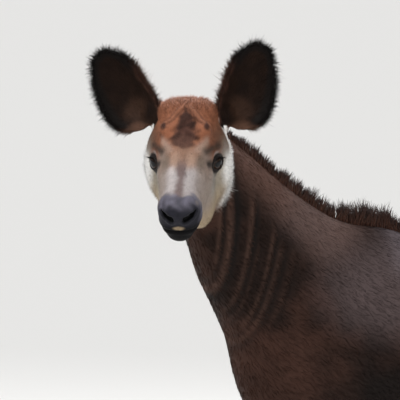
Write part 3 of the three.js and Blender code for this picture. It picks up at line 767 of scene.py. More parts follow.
def along_line(q, a, b, radius, soft):
    """One near a line between two places, fading over soft."""
    return ramp(capsule(q, a, b, radius, radius), soft, -soft)


def face_colours(points, q):
    s, a, u = q.T
    uneven = wobble(points, 9)
    fine = wobble(points, 3.4, 1.3)
    base = np.tile(RUFOUS, (len(q), 1)) * (1 + 0.16 * uneven[:, None] + 0.2 * fine[:, None])
    paint(base, 0.75 * ramp(s, 15, -25) * ramp(u, 66, 40) * ramp(a, 36, 54), TEMPLE_BROWN)
    paint(base, 0.8 * ramp(a, 48, 60) * ramp(s, -5, -35) * ramp(u, 46, 24), OLIVE)
    # Bridge of the nose: pale with a thin dark line and tan between the eyes; the pale strip on its right
    # side is painted brighter, as painted light from that side.
    paint(base, ramp(s, 52, 100) * ramp(u, -50, -2), BRIDGE_GREY)
    paint(base, ramp(u + 0.22 * s, 30, -12) * ramp(s, -62, -22), CHEEK_GREY)
    paint(base, 0.8 * ramp(s, 6, 44) * ramp(a, 14, 38) * ramp(u, 58, 34), BROW_TAN)
    paint(base, 0.9 * patch(q, (58, 0, 42), (34, 22, 26), 1.6), MIDDLE_TAN)
    paint(base, 0.6 * patch(q, (66, 15, 33), (24, 9, 12), 1.6), LIGHT_TAN)
    strip = along_line(q, (90, 19, 25), (150, 18, 12), 3, 12)
    # The strip is painted brighter on the right side: painted light falling from that side.
    strip *= np.where(in_head(points)[:, 1] < 0, 1.0, 0.42)
    paint(base, strip * (0.8 + 0.2 * fine), PALE_STRIP)
    line = ramp(a + 2.6 * uneven + 1.6 * fine, 10.5, 1.5) * ramp(s, 56, 92)
    paint(base, 0.85 * line, NOSE_LINE)
    # Forehead: a dark kite that narrows up to the crown, with rufous ridges beside it; each ridge carries a
    # painted highlight and the creases beside it painted shade.
    half = np.interp(s, FOREHEAD_AT, FOREHEAD_HALF)
    ragged = 4.5 * uneven + 3.5 * fine
    kite = ramp(a - half + ragged, 7, -7) * (u > 20) * ramp(s + ragged, -44, -28) * ramp(s + ragged, 50, 34)
    paint(base, 0.95 * kite, PLUM * (1 + 0.55 * fine[:, None] + 0.3 * uneven[:, None]))
    paint(base, 0.7 * kite * ramp(s + 1.4 * ragged, 8, 30), KITE_BROWN)
    ridge = a - RIDGE_SLOPE * (s - RIDGE_START)
    # A painted highlight along each ridge, painted shade in the creases beside it.
    on_ridge = 0.6 * ramp(s, -46, -38) * ramp(s, 2, -8) * (u > 40)
    paint(base, on_ridge * bell(ridge - 2, 5.0), LIT_RIDGE_RUFOUS)
    paint(base, on_ridge * bell(ridge + 4, 2.8), PLUM)
    paint(base, 5 / 6 * on_ridge * bell(ridge - 9, 3.0), PLUM * 2)
    paint(base, 0.95 * patch(q, (1, 38, 70), (8, 5, 8)), PLUM)
    # Eyes: pale spot on the brow, smoky patches above, inside and below.
    paint(base, 0.8 * along_line(q, (44, 25, 45), (14, 40, 48), 3, 10), BROW_SPOT)
    paint(base, 0.95 * along_line(q, (34, 39, 35), (-12, 58, 29), 6, 8), SMOKE)
    paint(base, 0.75 * patch(q, (66, 31, 28), (22, 9, 13), 1.5), EYE_CORNER)
    paint(base, 0.6 * patch(q, (8, 55, 19), (13, 6, 4.5)), LID_GREY)
    paint(base, 0.95 * along_line(q, (10, 51, 2), (48, 43, 17), 6.5, 6), STREAK_DARK)
    paint(base, 0.95 * along_line(q, (20, 50, -8), (4, 54, -20), 4, 7), POUCH_DARK)
    paint(base, 0.75 * along_line(q, (16, 50, -24), (-4, 54, -46), 5, 13), POUCH_GREY)
    # Cheeks: white along the rear edge and up to the ear, tan along the jaw.
    paint(base, 0.7 * patch(q, (-16, 57, -40), (20, 12, 34), 1.5), CHEEK_SPOT)
    rear = np.minimum(-30 + 0.34 * (u + 37), -26)
    paint(base, ramp(s - rear + 3 * uneven, 9, -9) * ramp(u, 14, -12) * ramp(a, 30, 48), WHITE)
    paint(base, 0.95 * along_line(q, (-72, 66, 50), (-66, 74, -14), 11, 7), WHITE)
    jaw = ramp(u + 0.1 * s + 4 * uneven, -42, -78) * ramp(s, -75, -15)
    paint(base, 0.85 * jaw, JAW_TAN)
    paint(base, 0.6 * ramp(s, 146, 118) * ramp(s, 60, 90) * ramp(u, -60, -80), CHIN_TAN)
    # Muzzle: slate above, nearly black in front and on the lips.
    edge = np.interp(u, MUZZLE_EDGE_UP, MUZZLE_EDGE_AT)
    lumpy = wobble(points, 6.0, 2.2)
    muzzle = ramp(s - edge + 7 * uneven + 5 * fine + 8 * lumpy, -12, 9)
    paint(base, muzzle, SLATE * (1 + 0.3 * fine[:, None] + 0.35 * lumpy[:, None]))
    front_of_nose = ramp(u - 0.35 * (s - 190) + 3 * uneven + 2 * fine, 4, -12) * ramp(s, 160, 182)
    paint(base, 0.95 * front_of_nose, NOSE_DARK)
    paint(base, 0.97 * ramp(u, -32, -44) * ramp(s, 134, 150), LIP_DARK)
    paint(base, 0.75 * patch(q + fine[:, None], (197, 0, -40), (8, 9, 3.2)), LIP_SPOT)
    opening, front = eye_opening(q)
    paint(base, ramp(opening, 9.5, 5.5) * (front > -5), LID_EDGE)
    # Painted shade inside the nostrils.
    paint(base, 0.95 * ramp(nostril(q), 2.5, 0.5), NOSTRIL_SHADE)
    return base


# Creases of the neck: place along the crest, depth, width, and how far down each starts and ends.
CREASES = [
    (448, 0.8, 7, 10, -150),
    (408, 1.0, 12, 10, -230),
    (349, 0.9, 9, -20, -190),
    (322, 0.4, 6, -90, -220),
    (277, 0.8, 8, -45, -200),
    (244, 0.7, 10, -60, -260),
    (203, 0.35, 9, -50, -190),
]


def neck_folds(points):
    """Folds that fan out from the crest to the throat: how high, one on ridges, and one in valleys."""
    along, _, up = in_neck(points)
    drop = up + 130
    line = (along + 0.285 * drop) / np.clip(1 + 0.00244 * drop, 0.4, 2)
    line += 13 * wobble(points, 70, 0.4)
    broken = 0.9 + 0.35 * wobble(points, 46, 1.1)
    ridge = np.zeros(len(points))
    valley = np.zeros(len(points))
    for place, depth, width, start, end in CREASES:
        reach = broken * depth * ramp(drop, start + 25, start - 20) * ramp(drop, end - 45, end + 25)
        valley = np.maximum(valley, reach * bell(line - place, width))
        ridge = np.maximum(ridge, reach * bell(line - place - 1.9 * width, width))
    return ridge - valley, ridge, valley


def stripes(phase, low, high):
    """One in the white lines and zero between them. phase grows by one from line to line."""
    return ramp(np.sin(2 * np.pi * phase), low, high)


def body_colours(points):
    x, y, z = points.T
    uneven = wobble(points, 55)
    fine = wobble(points, 14, 1.0)
    base = np.tile(CHOCOLATE, (len(points), 1)) * (1 + 0.2 * fine[:, None] + 0.25 * uneven[:, None])
    paint(base, 0.4 * ramp(uneven + 0.5 * fine, -0.2, 0.9) * ramp(z, 700, 900), REDDISH)
    along, _, up = in_neck(points)
    on_neck = ramp(along, 60, 160)
    _, ridge, valley = neck_folds(points)
    # The upper neck: a warmer reddish brown, painted lighter as painted light falling from above.
    paint(base, 0.85 * on_neck * ramp(up + 18 * uneven, -185, -95), NECK_TOP_LIT_BROWN)
    # Painted light on the neck folds: a painted highlight on each ridge and painted shade, near black, in
    # each valley.
    paint(base, 0.55 * ridge, FOLD_RIDGE_HIGHLIGHT)
    paint(base, 0.9 * valley, NEAR_BLACK)
    # A painted grey sheen on the upper neck toward the withers.
    paint(base, 0.5 * on_neck * ramp(along, 330, 210) * ramp(up + 25 * uneven, -200, -110), NECK_SHEEN_GREY)
    # A painted grey sheen on top of the shoulders.
    paint(base, 0.8 * patch(points * [0, 1, 1], (0, -40, 960), (1, 170, 90)), SHOULDER_SHEEN_GREY)
    # A painted grey sheen along the top of the back.
    paint(base, 0.75 * ramp(z, 955, 1015) * ramp(y, -90, 0) * ramp(y, 480, 380), BACK_SHEEN_GREY)
    # Painted shade: the lower trunk around the tops of the forelegs, darkened nearly to black.
    paint(base, 0.75 * ramp(z + 40 * uneven, 940, 780) * ramp(y, -200, -130) * ramp(y, 250, 60), NEAR_BLACK)
    paint(base, 0.35 * ramp(y, -215, -265) * ramp(z, 640, 760) * ramp(z, 930, 830), REDDISH)
    paint(base, 0.6 * ramp(along, 500, 570) * ramp(z, 1230, 1290), RUFOUS)
    # Stripes on the buttocks and thighs, and round the upper forelegs.
    is_fore = y < 250
    reach = 505 + 0.22 * np.abs(z - 620) + 34 * wobble(points * [0, 0, 1], 17, 0.5)
    behind = ramp(y - reach, -8, 22) * ramp(z, 378, 410) * ramp(z, 832, 800)
    rear_phase = z / 37 + 0.5 * wobble(points, 70, 2.0) + 0.0022 * (y - 600)
    paint(base, behind * stripes(rear_phase, 0.1, 0.5), WHITE)
    on_foreleg = ramp(z, 640, 610) * ramp(z, 385, 415) * is_fore
    fore_phase = z / 36 + 0.35 * wobble(points, 50, 1.4) + 0.003 * y
    paint(base, on_foreleg * stripes(fore_phase, 0.05, 0.45), WHITE)
    # Cream lower legs with a dark front line, dark joints and a dark ring over each hoof.
    knee = np.where(is_fore, 352, 405)
    paint(base, ramp(z - 12 * fine, knee + 2, knee - 14), LEG_CREAM)
    joint = 1 - ramp(np.abs(z - knee + 6 * fine - 4) / 17, 0.775, 1.225)
    paint(base, 0.85 * joint * ramp(wobble(points, 30, 0.2), -0.9, -0.1), CHOCOLATE)
    strides = [one["stride"] for one in LEGS.values()]
    stride = np.select([is_fore & (x > 0), is_fore, x > 0], strides[:3], strides[3])
    front = y - stride * np.clip((HIP_HEIGHT - z) / HIP_HEIGHT, 0, 1)
    shin = ramp(front, -6, -13) * ramp(z, 118, 150) * is_fore
    paint(base, 0.9 * shin * (z < 345), CHOCOLATE)
    paint(base, 0.88 * ramp(np.abs(z - 104 - 5 * fine), 20, 14), CHOCOLATE)
    paint(base, 0.9 * ramp(z, 60, 52), CHOCOLATE)
    # The tail is plain and dark.
    paint(base, (tail(points) < 4) * ramp(y, 634, 650), CHOCOLATE)
    return base


def markings_and_painted_light(points):
    """The animal's colours, with the painted sheen and shade, the same for skin and coat."""
    colours = body_colours(points)
    near = by_head(points)
    p = points[near]
    q = mirrored(in_head(p))
    share = head_share(p)[:, None]
    part = colours[near] * (1 - share) + face_colours(p, q) * share
    streak = wobble(p, 7, 0.7)
    for side in (1, -1):
        on_cup, along, t, inside, margin = ear_facts(p, side)
        ear_part = np.tile(EAR_BROWN, (len(p), 1)) * (1 + 0.3 * streak[:, None])
        paint(ear_part, 0.5 * inside * ramp(along, 22, 2) * ramp(t, -0.1, 0.5), EAR_LOBE)
        low_in_cup = patch(np.stack([along, t, t], 1), (30, 0.0, 0.0), (20, 0.4, 9))
        paint(ear_part, 0.3 * inside * low_in_cup, EAR_LOBE)
        paint(ear_part, 0.8 * ~inside * ramp(along, 70, 5), REDDISH)
        paint(ear_part, 0.85 * ramp(t + 0.08 * streak, -0.62, -0.88) * ramp(along, 122, 92), REDDISH)
        paint(ear_part, 0.85 * ramp(along, 22, 6) * ramp(t, 0.1, 0.5), EAR_BASE)
        rim = ramp(margin, -15, -7) * np.maximum(ramp(t, 0.1, 0.4), ramp(along, 70, 105))
        paint(ear_part, 0.9 * rim * ramp(along, 0, 25), NEAR_BLACK)
        part[on_cup] = ear_part[on_cup]
    colours[near] = part
    return np.clip(colours, 0.003, 0.95)


# The skin: one mesh, fine on the head and wider on the body, with folds added along its normals.
HEAD_CELL = 2.4
BODY_CELL = 6.8
grid_lines = [
    graded(-180, 345, -62, 325, HEAD_CELL, BODY_CELL),
    graded(-745, 730, -695, -312, HEAD_CELL, BODY_CELL),
    graded(38, 1445, 1110, 1432, HEAD_CELL, BODY_CELL),
]
skin_points, skin_faces = surface(skin, grid_lines)
skin_points = settle(skin, skin_points)


def folds(points):
    """How far lids, lips, creases and neck folds raise or sink the skin."""
    from_throat = ramp(-in_neck(points)[2], 330, 230)
    rise = 2.8 * neck_folds(points)[0] * (1 - head_share(points)) * from_throat
    near = by_head(points, FACE_REACH)
    p = points[near]
    q = mirrored(in_head(p))
    s, a, u = q.T
    opening, front = eye_opening(q)
    around_eye = (front > -6) & (opening < 20)
    level = (q - EYE_CENTRE) @ eye_axes()[1]
    part = around_eye * 1.3 * bell(opening - 2.2, 1.5)
    part -= around_eye * 1.5 * bell(opening - 6.0, 1.5) * ramp(level, 0, 6)
    part -= around_eye * 0.8 * bell(opening - 5.5, 1.6) * ramp(level, 0, -6)
    lips = u - mouth_height(s)
    part -= 4.0 * bell(lips, 1.5) * ramp(s, 112, 126)
    part += 1.2 * bell(np.abs(lips) - 5, 3) * ramp(s, 118, 140)
    part -= 1.6 * bell(a, 1.6) * ramp(s, 186, 194) * ramp(u, -46, -40) * ramp(u, -8, -16)
    part += 0.8 * wobble(p, 4.2, 0.9) * ramp(s, 150, 172) * ramp(u, -34, -22)
    part += 1.6 * bell(nostril(q) - 3.5, 2.5) * ramp(s, 165, 178)
    ridge = a - RIDGE_SLOPE * (s - RIDGE_START)
    on_ridge = ramp(s, -46, -36) * ramp(s, 4, -6) * (u > 40)
    part += 1.9 * bell(ridge - 2, 4.6) * on_ridge
    part -= 1.1 * bell(ridge + 5, 3.2) * on_ridge
    part -= 0.8 * bell(ridge - 10, 3.4) * on_ridge
    ripple = np.sin((s - 0.5 * a) / 2.3 + wobble(p, 14))
    part += 0.45 * ripple * patch(q, (2, 0, 66), (24, 26, 22))
    part -= 1.5 * bell(s - 36, 34) * bell(u - 8 + 0.2 * s, 9) * ramp(a, 25, 38)
    rise[near] += part * head_share(p)
    return rise


def normals_of(points, faces):
    around = np.zeros_like(points)
    corner = points[faces]
    cross = np.cross(corner[:, 2] - corner[:, 0], corner[:, 3] - corner[:, 1])
    for k in range(4):
        np.add.at(around, faces[:, k], cross)
    return unit(around)


outward = normals_of(skin_points, skin_faces)
skin_points = skin_points + outward * folds(skin_points)[:, None]
skin_colours = markings_and_painted_light(skin_points)
okapi_skin = mesh_object("okapi_skin", skin_points, skin_faces, skin_colours)


def wetness(points):
    """One on bare moist skin: the nose and the edges of the eyes."""
    q = mirrored(in_head(points))
    nose = patch(q, (196, 0, -12), (22, 26, 22), 0.8)
    opening, front = eye_opening(q)
    lid_edge = ramp(opening, 3.5, 1.5) * (front > 0)
    return np.clip(nose + lid_edge, 0, 1) * by_head(points, FACE_REACH)


wet_layer = okapi_skin.data.attributes.new("Wet", "FLOAT", "POINT")
wet_layer.data.foreach_set("value", wetness(skin_points).astype(np.float32))


# Materials, all from nodes.
class Nodes:
    """A short way to build a material's nodes."""

    def __init__(self, name):
        self.material = bpy.data.materials.new(name)
        self.material.use_nodes = True
        self.tree = self.material.node_tree
        self.shader = self.tree.nodes["Principled BSDF"]

    def add(self, kind, links=None, **settings):
        node = self.tree.nodes.new(kind)
        for key, value in settings.items():
            setattr(node, key, value)
        for socket, source in (links or {}).items():
            self.set(node, socket, source)
        return node

    def set(self, node, socket, source):
        if hasattr(source, "is_output"):
            self.tree.links.new(source, node.inputs[socket])
        else:
            node.inputs[socket].default_value = source

    def finish(self, **values):
        for socket, source in values.items():
            self.set(self.shader, socket.replace("_", " "), source)
        return self.material


def attribute(nodes, name, output="Color"):
    made = nodes.add("ShaderNodeAttribute", attribute_name=name, attribute_type="GEOMETRY")
    return made.outputs[output]


def combined(nodes, a, b, operation="ADD"):
    return nodes.add("ShaderNodeMath", {0: a, 1: b}, operation=operation).outputs[0]


def noise(nodes, scale, detail=3.0, stretch=(1, 1, 1)):
    where = nodes.add("ShaderNodeTexCoord").outputs["Object"]
    moved = nodes.add("ShaderNodeMapping", {"Vector": where, "Scale": stretch}).outputs[0]
    return nodes.add("ShaderNodeTexNoise", {"Vector": moved, "Scale": scale, "Detail": detail}).outputs[0]


def between(nodes, factor, low, high, from_low=0.0, from_high=1.0):
    made = nodes.add("ShaderNodeMapRange", {0: factor, 1: from_low, 2: from_high, 3: low, 4: high})
    return made.outputs[0]


def shade(nodes, colour, amount):
    """A colour made lighter or darker by a number near one."""
    grey = nodes.add("ShaderNodeCombineColor", {0: amount, 1: amount, 2: amount}).outputs[0]
    mix = nodes.add("ShaderNodeMix", data_type="RGBA", blend_type="MULTIPLY")
    nodes.set(mix, "Factor", 1.0)
    nodes.tree.links.new(colour, mix.inputs["A"])
    nodes.tree.links.new(grey, mix.inputs["B"])
    return mix.outputs["Result"]


def bump(nodes, height, strength, distance):
    made = nodes.add("ShaderNodeBump", {"Height": height, "Strength": strength, "Distance": distance})
    return made.outputs[0]


def skin_material():
    nodes = Nodes("okapi_short_coat")
    hair = noise(nodes, 700, 4.0)
    clump = noise(nodes, 90, 3.0)
    uneven = combined(nodes, between(nodes, hair, 0.72, 1.28), between(nodes, clump, 0.8, 1.2), "MULTIPLY")
    return nodes.finish(
        Base_Color=shade(nodes, attribute(nodes, "Tint"), uneven),
        Roughness=between(nodes, attribute(nodes, "Wet", "Fac"), 0.62, 0.3),
        Normal=bump(nodes, combined(nodes, hair, clump), 0.5, 0.0014),
        Specular_IOR_Level=0.08,
    )


def coat_material(name, sheen, roughness):
    nodes = Nodes(name)
    strand = noise(nodes, 260, 2.0)
    return nodes.finish(
        Base_Color=shade(nodes, attribute(nodes, "Tint"), between(nodes, strand, 0.78, 1.25, 0.3, 0.7)),
        Roughness=roughness,
        Specular_IOR_Level=0.08,
        Sheen_Weight=sheen,
        Sheen_Roughness=0.4,
    )


def horn_material():
    nodes = Nodes("dark_hoof_horn")
    rings = noise(nodes, 60, 3.0, (0.4, 0.4, 5))
    grain = noise(nodes, 240, 4.0, (1, 1, 0.15))
    colours = nodes.add("ShaderNodeValToRGB", {0: rings})
    stops = ((0.35, (0.022, 0.018, 0.016, 1)), (0.7, (0.085, 0.062, 0.048, 1)))
    for stop, (position, colour) in zip(colours.color_ramp.elements, stops):
        stop.position = position
        stop.color = colour
    return nodes.finish(
        Base_Color=shade(nodes, colours.outputs[0], between(nodes, grain, 0.8, 1.2)),
        Roughness=between(nodes, grain, 0.36, 0.6),
        Normal=bump(nodes, combined(nodes, rings, grain), 0.5, 0.0008),
    )


def eye_material():
    nodes = Nodes("dark_glossy_eye")
    fibres = noise(nodes, 900, 3.0)
    return nodes.finish(
        Base_Color=shade(nodes, attribute(nodes, "Tint"), between(nodes, fibres, 0.8, 1.25)),
        Roughness=0.12,
        Specular_IOR_Level=0.1,
        Coat_Weight=0.22,
        Coat_Roughness=0.03,
    )


skin_nodes = ["head", "muzzle", "neck", "trunk", "tail", "ear_left", "ear_right"]
skin_nodes += [f"{name}_{part}" for name in LEGS for part in ("upper", "lower")]
fit_out(okapi_skin, skin_material(), skin_nodes)


def ring_faces(rings, turns):
    """Faces between rings of points, and from the end rings to two points that come after them all."""
    i, j = np.meshgrid(np.arange(rings - 1), np.arange(turns), indexing="ij")
    i, j = i.ravel(), j.ravel()
    after = (j + 1) % turns
    low, high = i * turns, (i + 1) * turns
    quads = np.stack([low + j, high + j, high + after, low + after], 1)
    j = np.arange(turns)
    after = (j + 1) % turns
    last = (rings - 1) * turns
    start = np.stack([np.full(turns, rings * turns), j, after], 1)
    end = np.stack([np.full(turns, rings * turns + 1), last + after, last + j], 1)
    return np.concatenate([quads[:, [0, 1, 2]], quads[:, [0, 2, 3]], start, end])


# Eyes: a ball in each socket, with a wide pupil that lies level in a dark brown iris.
EYE_RINGS = 48
EYE_TURNS = 64
CORNEA_RISE = 0.045
IRIS_HALF = 0.62
IRIS_SOFT = 0.05
PUPIL_WIDE = 0.5
PUPIL_HIGH = 0.27


def ball(rings, turns):
    """Directions on a unit ball, in rings round its first axis, with its two ends last."""
    polar = np.linspace(0, np.pi, rings + 1)[1:-1]
    turn = np.arange(turns) * 2 * np.pi / turns
    p, t = np.meshgrid(polar, turn, indexing="ij")
    points = np.stack([np.cos(p), np.sin(p) * np.cos(t), np.sin(p) * np.sin(t)], -1).reshape(-1, 3)
    return np.concatenate([points, [[1, 0, 0], [-1, 0, 0]]])


directions = ball(EYE_RINGS, EYE_TURNS)
forward, across, height = directions.T
in_front = forward > 0
pupil = ramp(np.hypot(across / PUPIL_WIDE, height / PUPIL_HIGH), 1.15, 0.95) * in_front
iris = ramp(np.hypot(across, height), IRIS_HALF + IRIS_SOFT, IRIS_HALF - IRIS_SOFT) * in_front
eye_colours = np.tile(EYE_EDGE, (len(directions), 1))
paint(eye_colours, iris, IRIS_BROWN)
paint(eye_colours, pupil, PUPIL_BLACK)
cornea = 1 + CORNEA_RISE * ramp(forward, 0.72, 0.95)
for side, label in ((1, "left"), (-1, "right")):
    toward = EYE_LOOK * [1, side, 1]
    level = unit(np.cross(toward, [0, 0, 1]))
    axes = np.array([toward, level, np.cross(level, toward)])
    q = EYE_CENTRE * [1, side, 1] + directions * cornea[:, None] * EYE_RADIUS @ axes
    eye = mesh_object(f"eyeball_{label}", from_head(q), ring_faces(EYE_RINGS - 1, EYE_TURNS), eye_colours)
    fit_out(eye, eye_material(), [f"eye_{label}"])


# Hooves: two rounded claws on each foot, flat below and leaning back.
CLAW = {"half": 12.5, "apart": 0.6, "heel": 30, "toe": 46, "toe_top": 22, "heel_top": 26}
CLAW_NARROWING = 1.2
CLAW_SQUARENESS = 0.6
CLAW_GROOVES = 26
CLAW_GROOVE_DEPTH = 0.012
CLAW_ROUNDING = 0.05
CLAW_TOP = HOOF_TOP - 0.3
CLAW_RINGS = 14
CLAW_TURNS = 40


def claw(one, which):
    """A claw's points: rings from sole to top, then the middles of both. which is its side of the foot."""
    turn = np.arange(CLAW_TURNS) * 2 * np.pi / CLAW_TURNS
    lengthways, sideways = np.cos(turn), np.sin(turn)
    middle_x = one["side"] * one["aside"] + which * (CLAW["half"] + CLAW["apart"])
    middle_y = one["toe"] + one["stride"]
    rows = []
    for t in np.linspace(0, 1, CLAW_RINGS):
        toe = CLAW["toe"] + (CLAW["toe_top"] - CLAW["toe"]) * t
        heel = CLAW["heel"] + (CLAW["heel_top"] - CLAW["heel"]) * t
        half = CLAW["half"] - CLAW_NARROWING * t
        size = 1 - CLAW_GROOVE_DEPTH * (0.5 + 0.5 * np.sin(t * CLAW_GROOVES))
        size *= 1 - CLAW_ROUNDING * ramp(t, 0.06, 0.0)
        x = middle_x + size * half * np.sign(sideways) * np.abs(sideways) ** CLAW_SQUARENESS
        y = middle_y + size * np.where(lengthways > 0, heel, toe) * lengthways
        rows.append(np.stack([x, y, np.full(CLAW_TURNS, CLAW_TOP * t)], 1))
    return np.concatenate(rows + [rows[0].mean(0)[None], rows[-1].mean(0)[None]])


HORN = horn_material()
claw_faces = ring_faces(CLAW_RINGS, CLAW_TURNS)[:, ::-1]
for name, one in LEGS.items():
    for which in (1, -1):
        label = "outer" if which * one["side"] > 0 else "inner"
        hoof = mesh_object(f"{name}_{label}_hoof", claw(one, which), claw_faces)
        fit_out(hoof, HORN, [f"{name}_claw_{label}"])


# The coat's own flat map: each tuft takes the place of its root on an unwrap of the skin.
UNWRAP_ANGLE = np.radians(75)
UNWRAP_MARGIN = 0.001


def unwrapped(item):
    """One place on a flat map for each face corner of a mesh."""
    bpy.ops.object.select_all(action="DESELECT")
    item.select_set(True)
    bpy.context.view_layer.objects.active = item
    bpy.ops.object.mode_set(mode="EDIT")
    bpy.ops.mesh.select_all(action="SELECT")
    bpy.ops.uv.smart_project(angle_limit=UNWRAP_ANGLE, island_margin=UNWRAP_MARGIN)
    bpy.ops.object.mode_set(mode="OBJECT")
    layer = item.data.uv_layers.active
    places = np.empty(len(item.data.loops) * 2, np.float32)
    layer.data.foreach_get("uv", places)
    item.data.uv_layers.remove(layer)
    return places.reshape(-1, 4, 2)


skin_places = unwrapped(okapi_skin)
skin_normals = normals_of(skin_points, skin_faces)
CORNERS = np.array([[0, 1, 2], [0, 2, 3]])
skin_triangles = skin_faces[:, CORNERS].reshape(-1, 3)
triangle_places = skin_places[:, CORNERS].reshape(-1, 3, 2)
triangle_corners = skin_points[skin_triangles]
triangle_middles = triangle_corners.mean(1)
edge_a = triangle_corners[:, 1] - triangle_corners[:, 0]
edge_b = triangle_corners[:, 2] - triangle_corners[:, 0]
triangle_areas = np.linalg.norm(np.cross(edge_a, edge_b), axis=1) / 2


def scattered(per_area):
    """Roots spread over the skin, so many to each square millimetre: places, normals and map places."""
    amount = triangle_areas * per_area
    total = np.cumsum(amount)
    count = int(total[-1])
    picks = np.searchsorted(total, (np.arange(count) + RANDOM.random(count)) * total[-1] / count)
    picks = np.minimum(picks, len(amount) - 1)
    a, b = RANDOM.random((2, count))
    over = a + b > 1
    a[over], b[over] = 1 - a[over], 1 - b[over]
    share = np.stack([1 - a - b, a, b], 1)[:, :, None]
    roots = (skin_points[skin_triangles[picks]] * share).sum(1)
    normals = unit((skin_normals[skin_triangles[picks]] * share).sum(1))
    places = (triangle_places[picks] * share).sum(1)
    return roots, normals, places


def lie_of(points):
    """Which way the coat lies: back along the head, neck and trunk, and down the legs and tail."""
    _, y, z = points.T
    lie = np.tile((0.0, 0.93, -0.36), (len(points), 1))
    neck_share = ramp(y, 40, -160)[:, None]
    lie += neck_share * (-NECK_ALONG - lie)
    leg_share = (ramp(z, 700, 560) * ramp(z, 760, 640))[:, None]
    lie += leg_share * (np.array([0, 0.12, -1.0]) - lie)
    rump = (ramp(y, 560, 640) * ramp(z, 1000, 900))[:, None]
    lie += rump * (np.array([0, 0.1, -1.0]) - lie)
    near = by_head(points)
    p = points[near]
    s, a, u = in_head(p).T
    outward_pull = np.tanh(a / 25)
    drop = ramp(u, 20, -70)
    rise = ramp(s, 30, -20) * ramp(u, 45, 75)
    on_face = np.stack([-1.0 + 0 * s, 0.35 * outward_pull, -0.75 * drop + 0.55 * rise], 1) @ HEAD_AXES
    share = head_share(p)[:, None]
    part = lie[near] * (1 - share) + on_face * share
    for side in (1, -1):
        on_cup, _, t, _, _ = ear_facts(p, side)
        axes = ear_axes(side)
        part[on_cup] = (0.75 * axes[0] + 0.65 * np.tanh(t * 1.6)[:, None] * axes[1])[on_cup]
    lie[near] = part
    return lie


SIDES_OF_TUFT = np.radians([90, 210, 330])
TUFT_ON_MAP = 0.003
TUFT_TAPER = 0.7
TUFT_FLATNESS = 0.55


def tufts(name, roots, normals, places, lie, length, width, lift, bend, sway, rings, colours, tips,
          sink=0.4, stray=0.13):
    """Thin three-sided locks, closed at the root and pointed at the tip, joined into one mesh.

    lift, bend and sway are shares of a lock's length: how far its tip stands up, curls up and swings aside.
    """
    count = len(roots)
    lie = lie + RANDOM.normal(0, stray, (count, 3))
    lie = unit(lie - (lie * normals).sum(1)[:, None] * normals)
    across = np.cross(normals, lie)
    per_tuft = 3 * rings + 1
    points = np.empty((count, per_tuft, 3))
    tints = np.empty((count, per_tuft, 3))
    flat_places = np.empty((count, per_tuft, 2))
    for k in range(rings + 1):
        t = k / rings
        centre = roots - normals * sink + lie * (length * t)[:, None]
        centre = centre + normals * (length * (lift * t + bend * t * t))[:, None]
        centre = centre + across * (length * sway * t * t)[:, None]
        tint = colours * (1 - t) + tips * t
        if k == rings:
            points[:, -1] = centre
            tints[:, -1] = tint
            flat_places[:, -1] = places + np.array([TUFT_ON_MAP / 2, 0])
            continue
        thick = width / 2 * (1 - t) ** TUFT_TAPER
        for j, angle in enumerate(SIDES_OF_TUFT):
            offset = across * (np.cos(angle) * thick)[:, None]
            offset += normals * (TUFT_FLATNESS * np.sin(angle) * thick)[:, None]
            points[:, 3 * k + j] = centre + offset
            tints[:, 3 * k + j] = tint
            corner = np.array([(t - 0.5) * TUFT_ON_MAP, (j - 1) / 2 * TUFT_ON_MAP * (1 - 0.8 * t)])
            flat_places[:, 3 * k + j] = places + corner
    pattern = [(0, 2, 1)]
    for k in range(rings - 1):
        for j in range(3):
            a, b = 3 * k + j, 3 * k + (j + 1) % 3
            pattern += [(a, b, b + 3), (a, b + 3, a + 3)]
    last = 3 * (rings - 1)
    pattern += [(last + j, last + (j + 1) % 3, per_tuft - 1) for j in range(3)]
    faces = (np.array(pattern)[None] + (np.arange(count) * per_tuft)[:, None, None]).reshape(-1, 3)
    made = mesh_object(name, points.reshape(-1, 3), faces, tints.reshape(-1, 3))
    layer = made.data.uv_layers.new(name="OFBake")
    corner_places = np.clip(flat_places.reshape(-1, 2)[faces.ravel()], 0, 1)
    layer.data.foreach_set("uv", corner_places.astype(np.float32).ravel())
    return made


def varied(values, amount):
    """The values, or the rows of colours, each made a little more or less."""
    return values * (1 + RANDOM.normal(0, amount, (len(values), 1) if values.ndim == 2 else len(values)))


short_coat = coat_material("okapi_coat_tufts", 0.0, 0.5)
long_coat = coat_material("okapi_long_hair", 0.03, 0.45)
DARKER_ROOT = 0.62
LIGHTER_TIP = 1.38


def coat_piece(name, density, length, width, lift, rings, material=short_coat, direction=lie_of, bend=-0.05,
               uneven=0.16, stray=0.13):
    """Tufts over part of the skin. Length and lift are functions of places, or numbers."""
    roots, normals, places = scattered(density(triangle_middles))
    count = len(roots)

    def at(value, amount):
        return varied(value(roots) if callable(value) else np.full(count, value), amount)

    tint = varied(markings_and_painted_light(roots), 0.18)
    made = tufts(
        name, roots, normals, places, direction(roots), at(length, uneven), at(width, 0.12), at(lift, 0.25),
        bend, RANDOM.normal(0, 0.12, count), rings, tint * DARKER_ROOT, tint * LIGHTER_TIP, stray=stray)
    fit_out(made, material)


def ear_masks(points):
    """One on the ears' cups, and one on their rims."""
    cup = np.zeros(len(points))
    rim = np.zeros(len(points))
    near = by_head(points)
    for side in (1, -1):
        on_cup, along, _, _, margin = ear_facts(points[near], side)
        to_edge = ramp(margin, -7.5, -3) * ramp(along, -6, 8)
        cup[near] = np.maximum(cup[near], on_cup)
        rim[near] = np.maximum(rim[near], on_cup * to_edge)
    return cup, rim


# Tufts to each square millimetre.
BODY_TUFTS = 1 / 34
FACE_TUFTS = 1 / 7.5
EAR_TUFTS = 0.8 * FACE_TUFTS
RIM_TUFTS = 1 / 1.6


def body_length(points):
    return 13 - 5.5 * ramp(points[:, 2], 420, 330)


